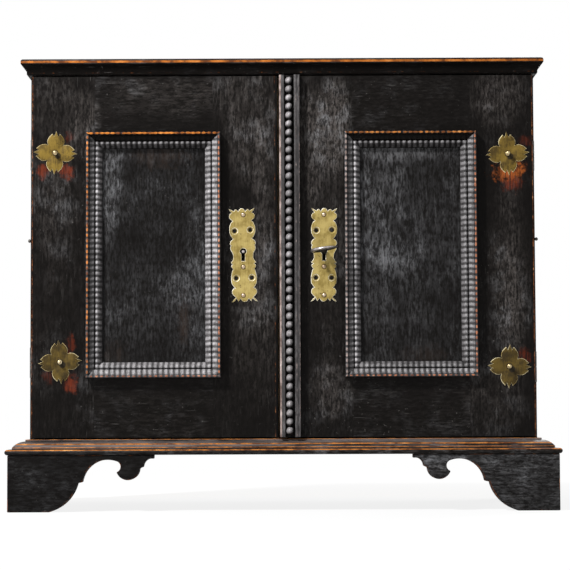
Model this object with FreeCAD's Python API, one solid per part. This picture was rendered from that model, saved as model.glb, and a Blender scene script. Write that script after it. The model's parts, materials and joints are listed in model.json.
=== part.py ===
import FreeCAD, Part
import math
import os
from FreeCAD import Placement, Rotation, Vector

# Two-door ebonised cabinet on scroll-cut bracket feet.
# Millimetres. +Z up, front towards -Y. The origin is on the floor, under the middle of the whole piece.
# Left and right are the viewer's.

# Carcase
carcase_width = 500.0
carcase_depth = 259.0
side_height = 358.5
side_thickness = 13.5
bottom_thickness = 15.0
head_thickness = 10.5
back_thickness = 8.0
back_rebate = 7.0
partition_thickness = 16.0
shelf_thickness = 9.0
shelf_setback = 19.0
shelf_height_share = 0.55
housing_depth = 4.0

# Top board and cornice moulding
top_thickness = 5.0
top_overhang = 7.5
top_edge_radius = 2.4
cornice_projection = 6.8
cornice_foot = 1.2
cornice_fillet = 2.4
cornice_lip = 0.8
cove_middle_shares = (0.40, 0.62)

# Base moulding: a fillet, a quirk and an ovolo over a nose with a half-round edge
base_projection = 20.0
base_fillet_depth = 2.0
base_fillet_height = 1.9
base_quirk = 1.6
base_ovolo_depth = 10.0
base_ovolo_height = 5.9
nose_height = 5.4
ovolo_middle_shares = (0.58, 0.34)

# Bracket feet
foot_height = 55.0
foot_inset = 2.5
bracket_thickness = 15.0
bracket_length = 142.0
rear_bracket_length = 102.5
block_size = 13.0
block_lift = 2.0

# Doors
door_thickness = 18.0
door_back_gap = 0.4
door_edge_inset = 3.5
door_bottom_gap = 1.5
door_top_gap = 1.2
meeting_gap = 2.0
meeting_x = -4.0
tenon_thickness = 6.0
tenon_length = 18.0
tenon_shoulder = 9.0
panel_thickness = 8.0
panel_recess = 3.0
groove_depth = 7.0

# Ripple mouldings framed around each panel, placed from the middle and from the hinged edges
ripple_inner_x = 61.1
ripple_outer_insets = {"left": 53.9, "right": 56.2}
ripple_frame_rise = 57.0
ripple_frame_drop = 56.2
ripple_width = 15.5
ripple_seat = 7.5
ripple_pitch = 5.2
ripple_crest_height = 10.0
ripple_crest_width = 2.4
ripple_slope_end = 8.6
ripple_slope_height = 6.6
ripple_groove_end = 10.0
ripple_groove_height = 4.2
ripple_bar_end = 13.8
ripple_bar_outer_height = 5.4
ripple_bar_inner_height = 4.0
ripple_lip_height = 2.2
ripple_wave_depth = 0.8
ripple_wave_root = 0.4

# Beaded strip on the meeting edge of the right door
strip_width = 20.0
strip_thickness = 5.0
strip_left_fillet = 5.0
strip_left_rise = 3.0
strip_right_fillet = 2.6
strip_right_width = 5.4
strip_right_rise = 3.4
bead_diameter = 7.2
bead_pitch = 8.5
bead_standout = 5.4
bead_sink = 0.6
bead_end_margin = 1.5
bead_facets = 10

# Hinges: strap leaves let in flush, barrels on the outer corners
hinge_height = 30.0
hinge_barrel_radius = 1.9
hinge_pin_radius = 1.0
hinge_leaf_thickness = 1.2
hinge_carcase_leaf = 11.0
hinge_door_leaf = 37.0
hinge_axis_inset = 1.5
hinge_running_gap = 0.3
pin_running_clearance = 0.05

# Quatrefoil rosettes over the hinges, with the rivet that holds each strap
rosette_radius = 21.9
rosette_thickness = 1.0
rosette_lower_rises = {"left": 74.1, "right": 68.2}
rosette_upper_drops = {"left": 75.6, "right": 78.1}
rosette_lower_insets = {"left": 27.8, "right": 25.0}
rosette_upper_insets = {"left": 22.7, "right": 24.5}
rivet_radius = 1.5
rivet_head_radius = 2.3
rivet_neck_radius = 1.3
rivet_standout = 5.6
turned_facets = 12

# Escutcheons
escutcheon_width = 26.8
escutcheon_height = 95.0
escutcheon_thickness = 1.0
escutcheon_rise = 130.9
escutcheon_side_gaps = {"left": 8.9, "right": 7.2}
escutcheon_eye_radius = 2.8
nail_radius = 0.8
nail_head_radius = 1.7
nail_head_height = 1.1
nail_length = 6.0

# Locks, and the key in the right one
keyhole_rise = 182.0
keyhole_radius = 3.1
keyhole_slot_width = 3.4
keyhole_slot_drop = 9.5
lock_wall = 1.2
lock_tails = {"left": 33.1, "right": 23.4}
lock_depth = 14.0
lock_below = 12.5
lock_above = 17.5
lock_end_gap = 2.0
bolt_height = 8.0
bolt_rise = 6.8
bolt_thickness = 3.6
bolt_tails = {"left": 25.1, "right": 15.4}
bolt_clearance = 0.3
bolt_throw = 8.0
bolt_notch_width = 14.5
bolt_notch_depth = 3.6
bolt_notch_lead = 3.5
strike_play = 0.6
drill_pin_radius = 1.0
drill_pin_length = 23.0
key_shank_radius = 2.5
key_bore_radius = 1.3
key_bit_length = 8.6
key_bit_height = 7.5
key_bit_thickness = 2.0
key_end_gap = 0.5
key_collar_radius = 3.6
key_collar_length = 2.6
key_collar_reach = 4.0
key_bow_reach = 20.0
key_bow_radius = 13.3
key_bow_wire = 2.3
key_bow_facets = 8
key_tilt_angle = 9.0

# Carrying handles on the sides
handle_height = 274.0
handle_span = 76.0
handle_plate_radius = 8.0
handle_plate_thickness = 1.2
handle_stem_radius = 2.2
handle_ball_radius = 4.2
handle_ball_reach = 7.2
handle_neck_radius = 1.2
handle_tip_radius = 1.9
handle_reach = 14.5
bail_wire_radius = 2.0
bail_facets = 8
bail_bore_clearance = 0.3
bail_stub_length = 5.0
bail_drop = 27.0
bail_bend_radius = 7.0

overrun = 2.0

# Outline of a bracket foot, from the floor corner round to the top, as shares of its length and height.
# Two values are the end of a line. Four are the middle and the end of an arc.
bracket_outline_shares = (
    (0.285, 0.0),
    (0.409, 0.185, 0.479, 0.507),
    (0.511, 0.523),
    (0.579, 0.823, 0.740, 0.893),
    (0.772, 0.802, 0.745, 0.70),
    (0.821, 0.557, 0.903, 0.76),
    (0.929, 0.79),
    (0.947, 0.895, 1.0, 0.930),
    (1.0, 1.0),
)

# Outline of a rear bracket, in the same way: a narrow foot, a cove and a thin rail.
rear_outline_shares = (
    (0.132, 0.0),
    (0.224, 0.509, 0.463, 0.836),
    (1.0, 0.90),
    (1.0, 1.0),
)

# Half outline of an escutcheon, from the top middle down to the bottom middle.
# Shares of its half width, and of its height measured down from the top.
escutcheon_outline_shares = (
    (0.27, 0.045),
    (0.44, 0.018),
    (0.56, 0.035),
    (1.0, 0.008),
    (0.74, 0.055),
    (0.93, 0.075),
    (0.93, 0.115),
    (0.66, 0.142),
    (0.99, 0.237, 0.68, 0.33),
    (0.88, 0.347),
    (0.98, 0.388),
    (0.86, 0.392),
    (0.93, 0.435, 0.66, 0.51),
    (0.74, 0.56),
    (0.98, 0.583),
    (0.80, 0.589),
    (0.94, 0.605),
    (0.94, 0.632),
    (0.78, 0.652),
    (0.99, 0.748, 0.74, 0.846),
    (0.97, 0.872),
    (0.95, 0.915),
    (0.68, 0.945),
    (1.0, 0.995),
    (0.56, 0.958),
    (0.48, 0.992),
    (0.30, 0.962),
    (0.18, 0.99),
    (0.0, 0.992),
)
escutcheon_start_share = 0.004
escutcheon_eye_shares = ((-0.60, 0.243), (0.60, 0.237), (-0.60, 0.742), (0.60, 0.742))
escutcheon_nail_shares = (0.082, 0.622, 0.917)

# Rings of one bead: share of how far it stands out, and share of its radius.
bead_ring_shares = ((0.38, 1.0), (0.80, 0.78), (1.0, 0.36))
bead_root_share = 0.86

# A nail head, as shares of its height and of its radius
nail_head_shares = ((0.0, 1.0), (0.6, 0.8), (1.0, 0.45))

# A handle post, as shares of the radius of its ball, from the stem out to the neck.
post_ball_shares = ((-0.84, 0.54), (-0.40, 0.92), (0.40, 0.92), (0.84, 0.54))
rivet_head_shares = ((-0.90, 0.44), (-0.38, 0.92), (0.38, 0.92), (0.92, 0.38))

# A quarter of a rosette outline, for the petal that points up, as shares of its radius.
petal_start_share = (0.345, 0.345)
petal_half_shares = (
    (0.39, 0.62, 0.18, 0.87),
    (0.095, 0.73),
    (0.0, 1.0),
)

# Levels and planes worked out from the sizes above
half_width = carcase_width / 2
bottom_z = foot_height
floor_of_bays_z = bottom_z + bottom_thickness
head_z = floor_of_bays_z + side_height
lip_z = head_z + head_thickness
door_height = side_height - door_bottom_gap - door_top_gap
door_z = floor_of_bays_z + door_bottom_gap
ripple_frame_height = door_height - ripple_frame_rise - ripple_frame_drop
key_reach = key_bow_reach + key_bow_radius
whole_depth = key_reach + door_thickness + door_back_gap + carcase_depth
back_y = whole_depth / 2
carcase_y = back_y - carcase_depth
door_back_y = carcase_y - door_back_gap
door_face_y = door_back_y - door_thickness
hinge_axis_y = carcase_y - door_back_gap / 2
hinge_axis_x = half_width - hinge_axis_inset
door_outer_x = half_width - door_edge_inset
keyhole_z = door_z + keyhole_rise
sides = {"left": -1, "right": 1}
full_turn = 360.0
half_turn = 180.0
quarter_turn = 90.0


def box(x_range, y_range, z_range):
    """A block between two values on each axis, given in either order."""
    lows = [min(pair) for pair in (x_range, y_range, z_range)]
    sizes = [abs(pair[1] - pair[0]) for pair in (x_range, y_range, z_range)]
    return Part.makeBox(*sizes, Vector(*lows))


def rod(axis, radius, start, length):
    return Part.makeCylinder(radius, length, start, axis)


def front_rod(radius, x, z, y_from, y_to):
    """A cylinder that runs from the front towards the back."""
    return rod(Vector(0, 1, 0), radius, Vector(x, y_from, z), y_to - y_from)


def fuse_all(shapes):
    shapes = list(shapes)
    if len(shapes) == 1:
        return shapes[0]
    return shapes[0].multiFuse(shapes[1:])


def outline_face(start, steps, place):
    """A flat face whose edge goes through lines and three-point arcs and then closes."""
    edges = []
    here = place(*start)
    for step in steps:
        end = place(*step[-2:])
        if len(step) == 4:
            edges.append(Part.Arc(here, place(*step[:2]), end).toShape())
        else:
            edges.append(Part.LineSegment(here, end).toShape())
        here = end
    if here.distanceToPoint(place(*start)) > Part.Vertex(here).Tolerance:
        edges.append(Part.LineSegment(here, place(*start)).toShape())
    return Part.Face(Part.Wire(edges))


def prism(points, direction):
    """A straight-edged polygon carried along a direction."""
    return Part.Face(Part.makePolygon(list(points) + [points[0]])).extrude(direction)


def turned(start, axis, stations):
    """A small turned shape with flats: stations of distance along the axis and radius."""
    first = Vector(0, 0, 1)
    second = axis.cross(first)
    rings = []
    for reach, radius in stations:
        rings.append(polygon_ring(start + axis * reach, first, second, radius, turned_facets))
    return Part.makeLoft(rings, True, True)


def polygon_ring(centre, first, second, radius, count):
    """A regular polygon about a centre, in the plane of two directions."""
    corners = []
    for index in range(count):
        turn = math.radians(full_turn * (index + 0.5) / count)
        corners.append(centre + first * (radius * math.cos(turn)) + second * (radius * math.sin(turn)))
    return Part.makePolygon(corners + [corners[0]])


def mirror_x(shape):
    return shape.mirror(Vector(0, 0, 0), Vector(1, 0, 0))


def save(name, shape):
    """Writes one node, as one solid or as a group of separate solids."""
    items = shape if isinstance(shape, list) else [shape]
    solids = [solid for item in items for solid in item.Solids]
    broken = [solid for solid in solids if not solid.isValid()]
    group = solids[0] if len(solids) == 1 else Part.makeCompound(solids)
    group.exportStep("parts/" + name + ".step")
    volume = round(sum(solid.Volume for solid in solids))
    print(name, len(solids), "solids", volume, "mm3", "INVALID" if broken else "")


# Mouldings planted round the front and the two sides of the carcase
def moulding_run(section, side, projection, heights):
    """Cuts one mitred run out of a section, which is a face in the outward and upward directions."""
    z_low, z_high = heights
    reach = half_width + projection
    front = door_face_y
    if side == "front":
        plan = [(-half_width, front), (-reach, front - projection)]
        plan += [(reach, front - projection), (half_width, front)]
        stock = section(Vector(0, -1, 0), Vector(-reach, front, 0)).extrude(Vector(reach * 2, 0, 0))
    else:
        sign = sides[side]
        plan = [(sign * half_width, front), (sign * reach, front - projection)]
        plan += [(sign * reach, back_y), (sign * half_width, back_y)]
        start = Vector(sign * half_width, front - projection, 0)
        stock = section(Vector(sign, 0, 0), start).extrude(Vector(0, back_y - front + projection, 0))
    corners = [Vector(x, y, z_low - overrun) for x, y in plan]
    gate = prism(corners, Vector(0, 0, z_high - z_low + overrun * 2))
    return stock.common(gate)


def base_section(outward, origin):
    """A fillet, a quirk and an ovolo, then the nose with its half-round edge."""
    def place(out, height):
        return origin + outward * out + Vector(0, 0, height)

    ovolo_start = base_fillet_depth + base_quirk
    ovolo_end = ovolo_start + base_ovolo_depth
    ovolo_top = floor_of_bays_z - base_fillet_height
    ovolo_low = ovolo_top - base_ovolo_height
    across, down = ovolo_middle_shares
    nose_radius = nose_height / 2
    nose_top = bottom_z + nose_height
    straight_end = base_projection - nose_radius
    steps = [
        (base_fillet_depth, floor_of_bays_z),
        (base_fillet_depth, ovolo_top),
        (ovolo_start, ovolo_top),
        (
            ovolo_start + base_ovolo_depth * across,
            ovolo_top - base_ovolo_height * down,
            ovolo_end,
            ovolo_low,
        ),
        (ovolo_end, nose_top),
        (straight_end, nose_top),
        (base_projection, nose_top - nose_radius, straight_end, bottom_z),
        (0, bottom_z),
    ]
    return outline_face((0, floor_of_bays_z), steps, place)


def cornice_section(outward, origin):
    """A cove under the top board, with a fillet and a small foot."""
    def place(out, height):
        return origin + outward * out + Vector(0, 0, height)

    fillet_out = cornice_foot + cornice_lip
    cove_low = head_z + cornice_fillet + cornice_lip
    across, up = cove_middle_shares
    cove_mid_out = fillet_out + (cornice_projection - fillet_out) * across
    cove_mid_z = cove_low + (lip_z - cornice_lip - cove_low) * up
    steps = [
        (0, head_z),
        (cornice_foot, head_z),
        (fillet_out, head_z + cornice_lip),
        (fillet_out, cove_low),
        (cove_mid_out, cove_mid_z, cornice_projection, lip_z - cornice_lip),
        (cornice_projection, lip_z),
    ]
    return outline_face((0, lip_z), steps, place)


# Carcase
def hinge_heights(side):
    return [door_z + rosette_lower_rises[side], door_z + door_height - rosette_upper_drops[side]]


def corner_relief(side, z_middle):
    """The round notch that clears the barrel of one hinge."""
    radius = hinge_barrel_radius + hinge_running_gap
    z_low = z_middle - hinge_height / 2 - hinge_running_gap
    start = Vector(sides[side] * hinge_axis_x, hinge_axis_y, z_low)
    return rod(Vector(0, 0, 1), radius, start, hinge_height + hinge_running_gap * 2)


def leaf_block(side, z_middle, on_door):
    """The flat of one leaf, as it lies let in flush."""
    sign = sides[side]
    x_axis = sign * hinge_axis_x
    if on_door:
        x_end = x_axis - sign * hinge_door_leaf
        y_range = (door_back_y - hinge_leaf_thickness, door_back_y)
    else:
        x_end = x_axis - sign * hinge_carcase_leaf
        y_range = (carcase_y, carcase_y + hinge_leaf_thickness)
    return box((x_axis, x_end), y_range, (z_middle - hinge_height / 2, z_middle + hinge_height / 2))


def hinge_leaf(side, z_middle, on_door):
    """A leaf with its knuckle: the lower one on the carcase, the upper one on the door."""
    up = Vector(0, 0, 1)
    base = Vector(sides[side] * hinge_axis_x, hinge_axis_y, z_middle - hinge_height / 2)
    knuckle = (hinge_height - hinge_running_gap) / 2
    own_start, other_start = (hinge_height - knuckle, 0) if on_door else (0, hinge_height - knuckle)
    relief_start = other_start - (overrun if other_start == 0 else hinge_running_gap)
    relief_length = knuckle + hinge_running_gap + overrun
    relief = rod(up, hinge_barrel_radius + hinge_running_gap, base + up * relief_start, relief_length)
    leaf = leaf_block(side, z_middle, on_door).cut(relief)
    leaf = leaf.fuse(rod(up, hinge_barrel_radius, base + up * own_start, knuckle))
    bore = hinge_pin_radius + (pin_running_clearance if on_door else 0)
    return leaf.cut(rod(up, bore, base - up * overrun, hinge_height + overrun * 2))


def hinge_pin(side, z_middle):
    base = Vector(sides[side] * hinge_axis_x, hinge_axis_y, z_middle - hinge_height / 2)
    return rod(Vector(0, 0, 1), hinge_pin_radius, base, hinge_height)


def shelf_level():
    return floor_of_bays_z + side_height * shelf_height_share


def shelf_block(side):
    """One shelf, housed in the side and in the partition."""
    sign = sides[side]
    outer = sign * (half_width - side_thickness + housing_depth)
    inner = meeting_x + sign * (partition_thickness / 2 - housing_depth)
    z_range = (shelf_level(), shelf_level() + shelf_thickness)
    return box((inner, outer), (carcase_y + shelf_setback, back_y - back_thickness), z_range)


def back_block():
    reach = half_width - side_thickness + back_rebate
    return box((-reach, reach), (back_y - back_thickness, back_y), (floor_of_bays_z, head_z))


def partition_block():
    half = partition_thickness / 2
    x_range = (meeting_x - half, meeting_x + half)
    z_range = (floor_of_bays_z - housing_depth, head_z + housing_depth)
    return box(x_range, (carcase_y, back_y - back_thickness), z_range)


def carcase_side(side):
    sign = sides[side]
    x_range = (sign * half_width, sign * (half_width - side_thickness))
    panel = box(x_range, (carcase_y, back_y), (floor_of_bays_z, head_z))
    tools = [back_block(), shelf_block(side)]
    for z_middle in hinge_heights(side):
        tools += [corner_relief(side, z_middle), leaf_block(side, z_middle, False)]
    return panel.cut(tools)


def strike_pocket(side):
    """The mortise in the partition that a shot bolt enters."""
    sign = sides[side]
    face = meeting_x + sign * partition_thickness / 2
    depth = bolt_throw - lock_end_gap + strike_play
    y_low, y_high = bolt_y_range()
    z_low, z_high = bolt_z_range()
    x_range = (face + sign * overrun, face - sign * depth)
    y_range = (y_low - strike_play, y_high + strike_play)
    return box(x_range, y_range, (z_low - strike_play, z_high + strike_play))


def carcase_nodes():
    for side in sides:
        save("side_" + side, carcase_side(side))
        save("shelf_" + side, shelf_block(side))
    x_range = (-half_width, half_width)
    board = box(x_range, (door_face_y, back_y), (bottom_z, floor_of_bays_z))
    save("bottom_board", board.cut(partition_block()))
    head = box(x_range, (door_face_y, back_y), (head_z, lip_z))
    save("carcase_head", head.cut(partition_block()))
    save("back_panel", back_block())
    cuts = [shelf_block(side) for side in sides] + [strike_pocket(side) for side in sides]
    save("partition", partition_block().cut(cuts))


def top_nodes():
    reach = half_width + top_overhang
    front = door_face_y - top_overhang
    board = box((-reach, reach), (front, back_y), (lip_z, lip_z + top_thickness))
    show_edges = [edge for edge in board.Edges if edge_is_on_show(edge, reach, front)]
    save("top_board", board.makeFillet(top_edge_radius, show_edges))
    base_heights = (bottom_z, floor_of_bays_z)
    for side in ("front", "left", "right"):
        save("cornice_" + side, moulding_run(cornice_section, side, cornice_projection, (head_z, lip_z)))
        save("base_moulding_" + side, moulding_run(base_section, side, base_projection, base_heights))


def edge_is_on_show(edge, reach, front):
    """True for the upper arrises along the front and the two ends of the top board."""
    bounds = edge.BoundBox
    flat = bounds.ZLength < top_thickness / 2
    at_end = bounds.XLength < top_edge_radius and abs(abs(bounds.XMin) - reach) < top_edge_radius
    at_front = bounds.YLength < top_edge_radius and abs(bounds.YMin - front) < top_edge_radius
    upper = bounds.ZMin > lip_z + top_thickness / 2
    return flat and upper and (at_end or at_front)


# Feet
def bracket_face(shares, length, corner, along):
    """A cut outline, from its corner on the floor."""
    def place(u, v):
        return corner + along * (u * length) + Vector(0, 0, v * foot_height)

    return outline_face((0, 0), shares + ((0, 1.0),), place)


def scroll_face(corner, along):
    return bracket_face(bracket_outline_shares, bracket_length, corner, along)


def bracket_mitre(sign, waste_corner):
    """The waste beyond the mitre of a front corner, on the side of the given corner."""
    outer_x = half_width + base_projection - foot_inset
    front = door_face_y - base_projection + foot_inset
    plan = [
        (outer_x + overrun, front - overrun),
        (outer_x - bracket_thickness, front + bracket_thickness),
        waste_corner,
    ]
    corners = [Vector(sign * x, y, -overrun) for x, y in plan]
    return prism(corners, Vector(0, 0, foot_height + overrun * 2))


def feet_nodes():
    outer_x = half_width + base_projection - foot_inset
    front = door_face_y - base_projection + foot_inset
    thick = bracket_thickness
    for side, sign in sides.items():
        corner = Vector(sign * outer_x, front, 0)
        face = scroll_face(corner, Vector(-sign, 0, 0)).extrude(Vector(0, thick, 0))
        front_waste = bracket_mitre(sign, (outer_x + overrun, front + thick))
        save("front_bracket_" + side, face.cut(front_waste))
        flank = scroll_face(corner, Vector(0, 1, 0)).extrude(Vector(-sign * thick, 0, 0))
        side_waste = bracket_mitre(sign, (outer_x - thick, front - overrun))
        rear_corner = Vector(sign * outer_x, back_y, 0)
        rear = scroll_face(rear_corner, Vector(0, -1, 0)).extrude(Vector(-sign * thick, 0, 0))
        save("side_brackets_" + side, [flank.cut(side_waste), rear])
    save("rear_brackets", [rear_bracket(sign, outer_x - thick) for sign in sides.values()])
    save("foot_blocks", [foot_block(sign, y) for sign in sides.values() for y in ("front", "rear")])


def rear_bracket(sign, start_x):
    """A plain coved bracket between the side brackets, out of sight against the wall."""
    corner = Vector(sign * start_x, back_y, 0)
    face = bracket_face(rear_outline_shares, rear_bracket_length, corner, Vector(-sign, 0, 0))
    return face.extrude(Vector(0, -bracket_thickness, 0))


def foot_block(sign, end):
    """A square block glued into the corner behind two brackets."""
    x_outer = half_width + base_projection - foot_inset - bracket_thickness
    if end == "front":
        y_start = door_face_y - base_projection + foot_inset + bracket_thickness
        y_range = (y_start, y_start + block_size)
    else:
        y_range = (back_y - bracket_thickness - block_size, back_y - bracket_thickness)
    return box((sign * x_outer, sign * (x_outer - block_size)), y_range, (block_lift, foot_height))


# Doors
def door_x_range(side):
    """The free edge and the hinged edge of one door."""
    sign = sides[side]
    return meeting_x + sign * meeting_gap / 2, sign * door_outer_x


def opening_x_range(side):
    """The panel opening, free edge side first."""
    sign = sides[side]
    outer = door_outer_x - ripple_outer_insets[side] - ripple_seat
    return sign * (ripple_inner_x + ripple_seat), sign * outer


def opening_z_range():
    low = door_z + ripple_frame_rise + ripple_seat
    return low, low + ripple_frame_height - ripple_seat * 2


def panel_block(side):
    sign = sides[side]
    free, outer = opening_x_range(side)
    low, high = opening_z_range()
    y_front = door_face_y + panel_recess
    x_range = (free - sign * groove_depth, outer + sign * groove_depth)
    return box(x_range, (y_front, y_front + panel_thickness), (low - groove_depth, high + groove_depth))


def tenons(side, z_low, z_high):
    """The two tenons at the ends of one rail."""
    sign = sides[side]
    free, outer = opening_x_range(side)
    y_front = door_face_y + (door_thickness - tenon_thickness) / 2
    y_range = (y_front, y_front + tenon_thickness)
    z_range = (z_low + tenon_shoulder, z_high - tenon_shoulder)
    return [
        box((free, free - sign * tenon_length), y_range, z_range),
        box((outer, outer + sign * tenon_length), y_range, z_range),
    ]


def key_channel(x, y_from, y_to):
    """Keyhole: a round with a slot below it."""
    hole = front_rod(keyhole_radius, x, keyhole_z, y_from, y_to)
    half = keyhole_slot_width / 2
    slot = box((x - half, x + half), (y_from, y_to), (keyhole_z - keyhole_slot_drop, keyhole_z))
    return hole.fuse(slot)


def keyhole_x(side):
    """The middle of the escutcheon, which stands beside the ripple moulding."""
    return sides[side] * (ripple_inner_x - escutcheon_side_gaps[side] - escutcheon_width / 2)


def rosette_places(side):
    """Centre of the lower and of the upper rosette."""
    sign = sides[side]
    insets = (rosette_lower_insets[side], rosette_upper_insets[side])
    return [(sign * (door_outer_x - inset), z) for inset, z in zip(insets, hinge_heights(side))]


def nail_places(side):
    top = door_z + escutcheon_rise + escutcheon_height
    return [(keyhole_x(side), top - share * escutcheon_height) for share in escutcheon_nail_shares]


def door_frame_nodes(side):
    free, outer = door_x_range(side)
    inner_edge, outer_edge = opening_x_range(side)
    low, high = opening_z_range()
    depth = (door_face_y, door_back_y)
    top = door_z + door_height
    lower_tenons = tenons(side, door_z, low)
    upper_tenons = tenons(side, high, top)
    panel = panel_block(side)
    hinge_cuts = []
    for z_middle in hinge_heights(side):
        hinge_cuts += [corner_relief(side, z_middle), leaf_block(side, z_middle, True)]
    outer_stile = box((outer_edge, outer), depth, (door_z, top))
    save("outer_stile_" + side, outer_stile.cut(hinge_cuts + lower_tenons + upper_tenons + [panel]))
    inner_stile = box((free, inner_edge), depth, (door_z, top))
    cuts = [key_channel(keyhole_x(side), door_face_y - overrun, door_back_y + overrun), panel]
    save("inner_stile_" + side, inner_stile.cut(cuts + lower_tenons + upper_tenons))
    for name, z_range, ends in (
        ("lower_rail_", (door_z, low), lower_tenons),
        ("upper_rail_", (high, top), upper_tenons),
    ):
        rail = fuse_all([box((inner_edge, outer_edge), depth, z_range)] + ends)
        save(name + side, rail.cut(panel))
    save("panel_" + side, panel)


# Ripple mouldings. One run lies along X, with Y from its outer edge inwards and Z the height over the door.
def ripple_profile(length):
    """The moulding without its waves. Under them its slopes lie lower by the depth of a wave's root."""
    sunk = ripple_wave_root * 2
    points = [
        (0, 0),
        (0, ripple_crest_height),
        (ripple_crest_width, ripple_crest_height),
        (ripple_crest_width, ripple_crest_height - sunk),
        (ripple_slope_end, ripple_slope_height - sunk),
        (ripple_slope_end, ripple_groove_height),
        (ripple_groove_end, ripple_groove_height),
        (ripple_groove_end, ripple_bar_outer_height - sunk),
        (ripple_bar_end, ripple_bar_inner_height - sunk),
        (ripple_bar_end, ripple_lip_height),
        (ripple_width, ripple_lip_height),
        (ripple_width, -panel_recess),
        (ripple_seat, -panel_recess),
        (ripple_seat, 0),
    ]
    return prism([Vector(-length / 2, y, z) for y, z in points], Vector(length, 0, 0))


def ripple_waves(length, y_from, z_from, y_to, z_to):
    """A zigzag strip laid on one sloping face of the moulding, its crests across the run."""
    across = Vector(0, y_to - y_from, z_to - z_from)
    normal = Vector(0, z_from - z_to, y_to - y_from).normalize()
    count = max(1, round(length / ripple_pitch))
    pitch = length / count
    start = Vector(-length / 2, y_from, z_from)
    crest = normal * ripple_wave_depth
    root = normal * ripple_wave_root
    points = [start - root]
    for index in range(count):
        points.append(start + Vector(pitch * index, 0, 0) - root)
        points.append(start + Vector(pitch * (index + 0.5), 0, 0) + crest)
    points.append(start + Vector(length, 0, 0) - root)
    below = normal * (-ripple_wave_depth - ripple_wave_root)
    points = points[1:] + [start + Vector(length, 0, 0) + below, start + below]
    return prism(points, across)


def ripple_run(length):
    """One mitred run of ripple moulding, seen from its outer edge."""
    slope = (ripple_crest_width, ripple_crest_height, ripple_slope_end, ripple_slope_height)
    bar = (ripple_groove_end, ripple_bar_outer_height, ripple_bar_end, ripple_bar_inner_height)
    stock = fuse_all([ripple_profile(length), ripple_waves(length, *slope), ripple_waves(length, *bar)])
    half = length / 2
    low = -panel_recess - overrun
    inner = half - ripple_width
    plan = [(-half, 0), (half, 0), (inner, ripple_width), (-inner, ripple_width)]
    height = ripple_crest_height + panel_recess + overrun * 2
    gate = prism([Vector(x, y, low) for x, y in plan], Vector(0, 0, height))
    return stock.common(gate)


def ripple_nodes():
    upright = ripple_run(ripple_frame_height)
    stand_up = Rotation(Vector(1, 0, 0), quarter_turn)
    for side, sign in sides.items():
        frame_width = door_outer_x - ripple_outer_insets[side] - ripple_inner_x
        cross = ripple_run(frame_width)
        middle_x = sign * (ripple_inner_x + frame_width / 2)
        middle = Vector(middle_x, door_face_y, door_z + ripple_frame_rise + ripple_frame_height / 2)
        for name, run, size, turns in (
            ("ripple_rails_", cross, ripple_frame_height, (0, half_turn)),
            ("ripple_uprights_", upright, frame_width, (quarter_turn, -quarter_turn)),
        ):
            group = []
            for turn in turns:
                piece = run.copy()
                piece.Placement = Placement(Vector(0, 0, -size / 2), stand_up)
                piece.rotate(Vector(0, 0, 0), Vector(0, 1, 0), turn)
                piece.translate(middle)
                group.append(piece)
            save(name + side, group)


def beaded_strip():
    """The astragal on the right door: a bed with fillets, and a row of beads half sunk in it."""
    x_left = meeting_x + meeting_gap / 2
    x_right = x_left + strip_width
    bed = door_face_y - strip_thickness
    step_x = x_right - strip_right_fillet
    points = [
        (x_left, door_face_y),
        (x_left, bed - strip_left_rise),
        (x_left + strip_left_fillet, bed - strip_left_rise),
        (x_left + strip_left_fillet, bed),
        (x_right - strip_right_width, bed),
        (x_right - strip_right_width, bed - strip_right_rise),
        (step_x, bed - strip_right_rise),
        (step_x, bed),
        (x_right, bed),
        (x_right, door_face_y),
    ]
    strip = prism([Vector(x, y, door_z) for x, y in points], Vector(0, 0, door_height))
    row = door_height - bead_end_margin * 2
    count = max(1, round(row / bead_pitch))
    pitch = row / count
    bead_x = (x_left + strip_left_fillet + x_right - strip_right_width) / 2
    beads = []
    for index in range(count):
        z = door_z + bead_end_margin + pitch * (index + 0.5)
        beads.append(bead(bead_x, bed, z))
    return strip.multiFuse(beads)


def bead(x, bed, z):
    """One bead as a stack of rings, its root sunk in the bed."""
    radius = bead_diameter / 2
    rings = [(bed + bead_sink, bead_root_share)]
    rings += [(bed - share * bead_standout, girth) for share, girth in bead_ring_shares]
    wires = []
    for y, girth in rings:
        middle = Vector(x, y, z)
        wires.append(polygon_ring(middle, Vector(1, 0, 0), Vector(0, 0, 1), radius * girth, bead_facets))
    return Part.makeLoft(wires, True, True)


# Brass mounts
def rosette(x, z):
    """A quatrefoil plate with three-pointed petals."""
    steps = []
    start = petal_start_share
    half = list(petal_half_shares)
    ends = [start] + [step[-2:] for step in half]
    back = []
    for index in range(len(half) - 1, -1, -1):
        end_u, end_v = ends[index]
        middle = half[index][:2] if len(half[index]) == 4 else ()
        flipped = (-middle[0], middle[1]) if middle else ()
        back.append(flipped + (-end_u, end_v))
    petal = half + back
    for quarter in range(4):
        turn = math.radians(quarter_turn * quarter)
        cos_turn, sin_turn = math.cos(turn), math.sin(turn)
        for step in petal:
            pairs = [step[:2], step[2:]] if len(step) == 4 else [step]
            swung = []
            for u, v in pairs:
                swung += [u * cos_turn - v * sin_turn, u * sin_turn + v * cos_turn]
            steps.append(tuple(swung))

    def place(u, v):
        return Vector(x + u * rosette_radius, door_face_y, z + v * rosette_radius)

    plate = outline_face(start, steps, place).extrude(Vector(0, -rosette_thickness, 0))
    return plate.cut(front_rod(rivet_radius, x, z, door_face_y - overrun, door_face_y))


def rivet(x, z):
    """A rivet: a round head on a neck, and a shank through the door into the strap."""
    standout = rosette_thickness + rivet_standout
    shank = front_rod(rivet_radius, x, z, door_face_y - rosette_thickness, door_back_y)
    stations = [(rosette_thickness - rivet_neck_radius, rivet_neck_radius)]
    for along, girth in rivet_head_shares:
        stations.append((standout - rivet_head_radius * (1 - along), rivet_head_radius * girth))
    return shank.fuse(turned(Vector(x, door_face_y, z), Vector(0, -1, 0), stations))


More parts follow.
